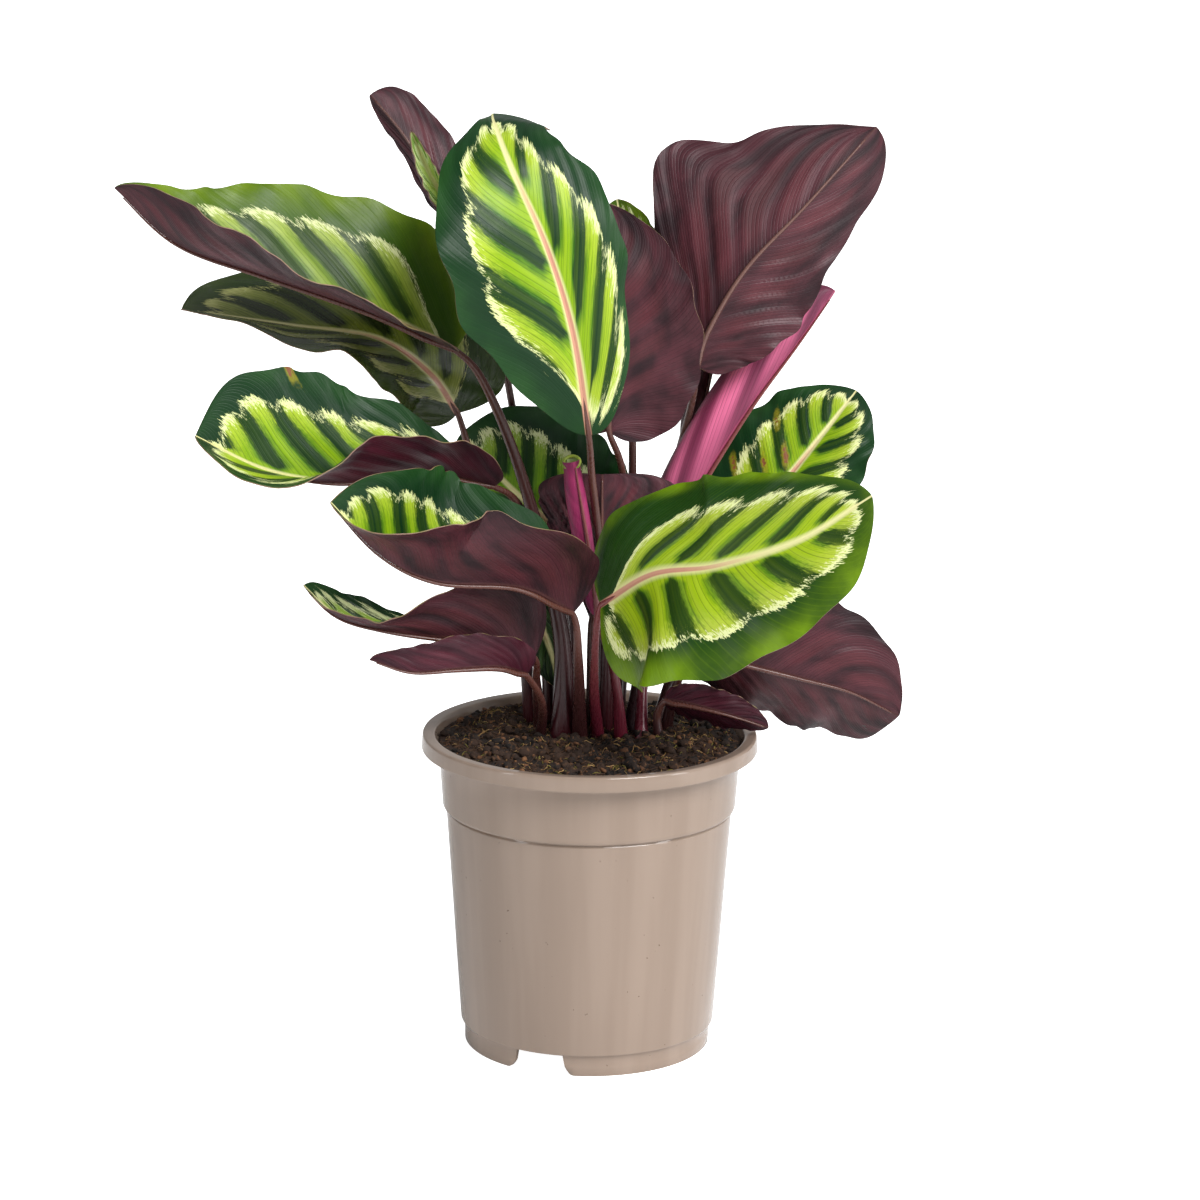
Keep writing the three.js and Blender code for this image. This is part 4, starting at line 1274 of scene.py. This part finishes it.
@dataclass(frozen=True)
class Pot:
    """The nursery pot: one moulded shell with a rim, a band and a notched foot ring."""

    height: float = 162.0
    rim_radius: float = 85.0
    rim_depth: float = 8.0
    rim_inner_radius: float = 78.0
    band_radius: float = 76.3
    band_foot_radius: float = 74.3
    band_foot_height: float = 125.0
    band_middle: float = 140.0  # height of a ring of points half way up the band
    step_height: float = 123.2
    groove: float = 0.7  # depth of the groove at the band's foot
    step_radius: float = 72.3
    body_foot_radius: float = 64.5
    foot_height: float = 10.8
    foot_radius: float = 62.5
    foot_wall: float = 2.4
    wall: float = 1.8
    floor: float = 2.2
    steps: int = 360
    notch_width: float = 27.0
    notch_corner: float = 5.0
    notch_first: float = -22.4  # degrees from the front
    notch_count: int = 3
    foot_left: float = 0.3  # what a notch leaves of the foot ring's height

    def profile(self) -> list[Pair]:
        """Radius and height, from under the floor, over the rim, to the floor inside."""
        top, rim, foot, low = self.height, self.height - self.rim_depth, self.foot_height, 5.0
        body, step, band = self.body_foot_radius, self.step_radius, self.band_foot_radius
        step_up, band_up, inside = self.step_height, self.band_foot_height, foot + self.floor
        ring_in, ring_out, groove = self.foot_radius - self.foot_wall, self.foot_radius, self.groove
        return [
            *near(0.0, foot, (0.0, 0.0), (20.0, 0.0), (40.0, 0.0)),
            *near(ring_in, 0.0, (0.0, foot), (0.0, low), (0.0, 0.4), (0.4, 0.0)),
            *near(ring_out, 0.0, (-0.4, 0.0), (0.0, 0.4), (0.0, low), (0.0, foot - 0.2), (0.2, foot)),
            *near(body, foot, (-1.2, 0.0), (-0.4, 0.25), (0.0, 1.2)),
            *((blend((body, step), share), blend((foot, step_up), share)) for share in (0.33, 0.66)),
            *near(step, step_up, (0.0, -1.5), (0.0, -0.9), (-0.1, -0.7)),
            *near(step, step_up, (-groove, 0.0), (0.1 - groove, 0.3), (0.9, 0.8), (1.1, 0.9)),
            *near(band, band_up, (-0.4, -0.6), (-0.1, 0.2), (0.0, 1.4), (0.0, 2.0)),
            (blend((band, self.band_radius), 0.5), self.band_middle),
            *near(self.band_radius, rim, (0.0, -0.8), (0.6, 0.0)),
            *near(self.rim_radius, rim, (-1.2, 0.0), (-0.7, 0.0), (-0.2, 0.2), (0.0, 0.7), (0.0, 1.2)),
            *near(self.rim_radius, top, (-0.4, -1.4), (-0.5, -0.9), (-0.9, -0.2)),
            *near(self.rim_radius, top, (-1.4, 0.0), (-2.0, 0.0)),
            *near(self.rim_inner_radius, top, (1.6, -0.2), (0.8, -0.3), (0.2, -0.8), (0.0, -1.6)),
            (self.band_radius - self.wall, rim),
            (band - self.wall, band_up),
            (step - self.wall, step_up),
            (body - self.wall, inside),
            (20.0, inside),
            (0.0, inside),
        ]

    def notch_rise(self, x: float, y: float) -> float:
        """Height to which a notch lifts the foot ring's lower edge.

        Args:
            x: Place about the axis, to the right, in millimetres.
            y: Place about the axis, to the back.

        Returns:
            The height, in millimetres.
        """
        rise = 0.0
        for index in range(self.notch_count):
            centre = math.radians(self.notch_first + index * 360 / self.notch_count)
            angle = (math.atan2(x, -y) - centre + math.pi) % (2 * math.pi) - math.pi
            off = abs(angle) * self.foot_radius - self.notch_width / 2
            if off < 0:
                rise = self.foot_height
            elif off < self.notch_corner:
                rise = max(rise, self.notch_corner * (1 - off / self.notch_corner) ** 2)
        return min(rise, self.foot_height - self.foot_left)

    def build(self) -> Piece:
        """Spins the profile and notches the foot ring."""
        bm = turned(self.profile(), self.steps)
        for vert in bm.verts:
            x, y, z = vert.co
            if z < self.foot_height and math.hypot(x, y) < self.foot_radius + 0.1:
                vert.co.z = max(z, self.notch_rise(x, y))
            vert.co = from_axis(vert.co)
        return hand_in(finished("nursery_pot", bm, PotFinish().material()), "pot", "pot")


# ------------------------------------------------------------------ soil


@dataclass(frozen=True)
class Soil:
    """The potting soil: a lump with a crumbly top, loose crumbs and fibres."""

    edge_radius: float = 76.0
    edge_height: float = 158.0
    heap: float = 3.5  # how much higher its middle is than its edge
    lumps: Pair = (14.0, 2.8)  # their width and height
    grains: Pair = (3.4, 1.5)
    wall: tuple[Pair, ...] = ((0.0, 13.6), (62.2, 13.6), (70.0, 117.0), (72.0, 126.0), (74.0, 152.0))
    rings: int = 60
    steps: int = 220

    def height(self, x: float, y: float) -> float:
        """Height of the crumbly top.

        Args:
            x: Place about the axis, to the right, in millimetres.
            y: Place about the axis, to the back.

        Returns:
            The height, in millimetres.
        """
        out = math.hypot(x, y) / self.edge_radius
        place, (lump, lump_rise), (grain, grain_rise) = Vector((x, y, 0.0)), self.lumps, self.grains
        rough = noise.fractal(place / lump, 0.9, 2.0, 3) * lump_rise
        rough += noise.fractal(place / grain + Vector((9.0, 0.0, 0.0)), 0.7, 2.1, 3) * grain_rise
        return self.edge_height + self.heap * (1 - out**2) + rough * (1 - out**8)

    def body(self) -> Piece:
        """Spins the lump, from under its middle up its wall, and roughens its top."""
        shares = [1 - index / self.rings for index in range(self.rings + 1)]
        top = [(self.edge_radius * share, self.edge_height) for share in shares]
        bm = turned([*self.wall, *top], self.steps)
        for vert in bm.verts:
            x, y, z = vert.co
            if z > self.wall[-1][1] + 1:
                vert.co.z = self.height(x, y)
            vert.co = from_axis(vert.co)
        return hand_in(finished("soil_lump", bm, SoilFinish().material()), "soil", "soil")

    def build(self) -> None:
        """Builds the lump, the crumbs and the fibres."""
        self.body()
        for grit in GRITS:
            grit.build(self)


@dataclass(frozen=True)
class Grit:
    """Loose bits of one kind on the soil."""

    name: str
    count: int
    sizes: Pair  # least and greatest radius of a crumb, or length of a fibre
    finish: SoilFinish | PlainFinish
    seed: int

    CLEAR = 0.0  # how far they stay from the soil's edge

    def add_bit(self, bm: BMesh, soil: Soil, x: float, y: float, chance: random.Random) -> None:
        """Adds one bit.

        Args:
            bm: The bmesh that takes it.
            soil: The soil that it lies on.
            x: Its place about the axis, to the right, in millimetres.
            y: Its place about the axis, to the back.
            chance: Where its random draws come from.
        """
        raise NotImplementedError

    def build(self, soil: Soil) -> Piece:
        """Strews the bits.

        Args:
            soil: The soil that they lie on.

        Returns:
            The piece.
        """
        chance = random.Random(self.seed)
        bm = bmesh.new()
        for _ in range(self.count):
            radius = (soil.edge_radius - self.CLEAR) * math.sqrt(chance.random())
            angle = chance.uniform(0, 2 * math.pi)
            self.add_bit(bm, soil, radius * math.cos(angle), radius * math.sin(angle), chance)
        bmesh.ops.recalc_face_normals(bm, faces=bm.faces[:])
        return hand_in(finished(self.name, bm, self.finish.material()), "soil", "soil")


@dataclass(frozen=True)
class Crumbs(Grit):
    """Dented round crumbs, partly sunk in."""

    CLEAR = 2.5
    DENTS = (800.0, 0.6)  # how often they come, to a metre, and their depth as a share
    VERTS = 42  # corners of one crumb

    def add_bit(self, bm: BMesh, soil: Soil, x: float, y: float, chance: random.Random) -> None:
        """Adds one crumb; it takes what Grit.add_bit does."""
        index = len(bm.verts) // self.VERTS
        size = self.sizes[0] + (self.sizes[1] - self.sizes[0]) * chance.random() ** 3
        turn = Quaternion((*(chance.random() - 0.5 for _ in range(3)), 1.0)).normalized()
        stretch = Matrix.Diagonal((1.0, chance.uniform(0.6, 1.0), chance.uniform(0.5, 0.9), 1.0))
        centre = from_axis((x, y, soil.height(x, y) + size * 0.35))
        matrix = Matrix.Translation(centre) @ turn.to_matrix().to_4x4() @ stretch
        made = bmesh.ops.create_icosphere(bm, subdivisions=2, radius=size * MM, matrix=matrix)
        often, deep = self.DENTS
        for vert in made["verts"]:
            dent = noise.noise(vert.co * often + Vector((index, 0.0, 0.0)))
            vert.co = centre + (vert.co - centre) * (1 + deep * dent)


@dataclass(frozen=True)
class Fibres(Grit):
    """Thin bent fibres, three-sided, that lie loosely."""

    CLEAR = 4.0
    BEND = 1.2  # greatest turn along a fibre, in radians
    LIFT = (0.2, 3.0)  # how far its middle rises
    RADIUS = (0.12, 0.32)
    POINTS = 5

    def add_bit(self, bm: BMesh, soil: Soil, x: float, y: float, chance: random.Random) -> None:
        """Adds one fibre; it takes what Grit.add_bit does."""
        heading = chance.uniform(0, 2 * math.pi)
        length, bend = chance.uniform(*self.sizes), chance.uniform(-self.BEND, self.BEND)
        lift, radius = chance.uniform(*self.LIFT), chance.uniform(*self.RADIUS)
        centres = []
        for point in range(self.POINTS):
            share = point / (self.POINTS - 1) - 0.5
            angle = heading + bend * share
            px = x + math.cos(angle) * length * share
            py = y + math.sin(angle) * length * share
            centres.append(from_axis((px, py, soil.height(px, py) + 0.3 + lift * (0.5 - abs(share)))))
        steps = [after - before for before, after in zip(centres, centres[1:])]
        matrix = Matrix.Translation(centres[0]) @ heading_matrix(steps[0].normalized())
        ends = {"segments": 3, "radius": radius * MM, "cap_ends": True}
        start = bmesh.ops.create_circle(bm, matrix=matrix, **ends)["verts"]
        edges = list({edge for vert in start for edge in vert.link_edges})
        for step in steps:
            verts, edges = next_ring(bm, edges)
            bmesh.ops.translate(bm, verts=verts, vec=step)
        bmesh.ops.contextual_create(bm, geom=edges)


PALE_CRUMB = PlainFinish("pale crumbs", tone(118, 80, 50), tone(76, 48, 30), 0.9)
ROOT_FIBRE = PlainFinish("root fibre", tone(84, 57, 35), tone(56, 36, 23), 0.8)
STRAW = PlainFinish("straw", tone(186, 152, 98), tone(140, 104, 62), 0.7)
MOSS = PlainFinish("moss", tone(134, 122, 52), tone(92, 84, 36), 0.8)
GRITS = (
    Crumbs("soil_crumbs", 850, (0.6, 3.2), SoilFinish(), 11),
    Crumbs("pale_crumbs", 360, (0.5, 2.0), PALE_CRUMB, 12),
    Fibres("soil_fibres", 800, (3.0, 11.0), ROOT_FIBRE, 13),
    Fibres("straw_bits", 320, (3.0, 8.0), STRAW, 14),
    Fibres("moss_bits", 240, (2.0, 5.0), MOSS, 15),
)


# ------------------------------------------------------------------ studio


def aimed(lamp: Piece, aim: Vector) -> None:
    """Turns a lamp to shine in a direction."""
    lamp.rotation_euler = aim.to_track_quat("-Z", "Y").to_euler()


@dataclass(frozen=True)
class Softbox:
    """A soft rectangular lamp that looks at the plant."""

    name: str
    place: Point  # in metres
    size: Pair  # width and height, in metres
    power: float  # in watts

    TARGET = Vector((0.0, 0.0, 0.25))

    def build(self) -> None:
        """Hangs the lamp."""
        data = bpy.data.lights.new(self.name, "AREA")
        data.shape = "RECTANGLE"
        data.size, data.size_y = self.size
        data.energy = self.power
        lamp = placed(self.name, data)
        lamp.location = self.place
        aimed(lamp, self.TARGET - Vector(self.place))


@dataclass(frozen=True)
class Studio:
    """A pale floor, soft lamps and the camera of the picture."""

    lens: float = 135.48
    sensor: float = 36.0
    camera_place: Point = (4.5, -2200.0, 777.0)  # millimetres about the pot's axis
    camera_pitch: float = 76.05
    camera_roll: float = 0.6
    floor_size: float = 60.0
    floor_grey: float = 0.93
    floor_glow: Pair = (0.1, 1.0)  # how strongly it glows on the plant, and as seen
    fill: Pair = (0.05, 0.42)  # strength of the light from all round, least and greatest
    fill_from: Point = (0.5, 0.75, 0.3)  # direction that it is greatest from
    window: float = 0.22  # further strength of the broad front, whose edges show in the pot
    sun_strength: float = 2.85
    sun_width: float = 32.0  # degrees
    sun_from: Point = (0.6, -0.8, 0.9)
    softboxes: tuple[Softbox, ...] = (
        Softbox("left softbox", (-1.9, -1.3, 0.9), (0.35, 1.6), 7.0),
        Softbox("right softbox", (2.0, -1.0, 1.0), (0.5, 1.6), 16.0),
    )

    def camera(self) -> None:
        """Sets up the camera."""
        data = bpy.data.cameras.new("camera")
        data.lens = self.lens
        data.sensor_width = self.sensor
        camera = placed("camera", data)
        pitch = Matrix.Rotation(math.radians(self.camera_pitch), 4, "X")
        roll = Matrix.Rotation(math.radians(self.camera_roll), 4, "Z")
        camera.matrix_world = Matrix.Translation(from_axis(self.camera_place)) @ pitch @ roll
        bpy.context.scene.camera = camera

    def floor(self) -> None:
        """Lays the floor."""
        bm = bmesh.new()
        bmesh.ops.create_grid(bm, x_segments=1, y_segments=1, size=self.floor_size / 2)
        material, wires, shader = new_material("pale floor")
        seen = wires.add("ShaderNodeLightPath", {}).outputs["Is Camera Ray"]
        feeds = {
            "Base Color": (self.floor_grey, self.floor_grey, self.floor_grey, 1.0),
            "Roughness": 0.9,
            "Specular IOR Level": 0.1,
            "Emission Color": WHITE,
            "Emission Strength": wires.step(seen, 0.0, 1.0, *self.floor_glow),
        }
        wires.feed(shader, feeds)
        finished("floor", bm, material)

    def sun(self) -> None:
        """Hangs the main light, so wide and far that it lights plant and floor evenly."""
        data = bpy.data.lights.new("main light", "SUN")
        data.energy = self.sun_strength
        data.angle = math.radians(self.sun_width)
        aimed(placed("main light", data), -Vector(self.sun_from))

    def surround(self) -> None:
        """Sets the white surroundings, which light the plant less than they show."""
        world = bpy.data.worlds.new("studio")
        world.use_nodes = True
        wires = Wiring(world.node_tree)
        heading = wires.add("ShaderNodeTexCoord", {}).outputs["Generated"]

        def toward(direction: Point) -> Socket:
            """How far a ray heads in a direction, from -1 to 1."""
            feeds = {0: heading, 1: direction}
            return wires.add("ShaderNodeVectorMath", feeds, operation="DOT_PRODUCT").outputs["Value"]

        window = wires.step(toward((0.0, -1.0, 0.0)), 0.29, 0.33, 0.0, self.window)
        fill = wires.plus(window, wires.step(toward(self.fill_from), -0.7, 0.8, *self.fill))
        seen = wires.add("ShaderNodeLightPath", {}).outputs["Is Camera Ray"]
        strength = wires.step(seen, 0.0, 1.0, fill, 1.0)
        background = world.node_tree.nodes["Background"]
        wires.feed(background, {"Color": WHITE, "Strength": strength})
        bpy.context.scene.world = world

    def build(self) -> None:
        """Builds the studio."""
        self.camera()
        self.floor()
        self.sun()
        for softbox in self.softboxes:
            softbox.build()
        self.surround()
        bpy.context.scene.view_settings.view_transform = "Standard"


# ------------------------------------------------------------------ whole


def main() -> None:
    """Builds the studio, the pot, the soil and the leaves."""
    logging.basicConfig(level=logging.INFO, format="%(message)s")
    Studio().build()
    Pot().build()
    Soil().build()
    for leaf in (*LEAVES, *ROLLED_LEAVES):
        leaf.build()


if __name__ == "__main__":
    main()
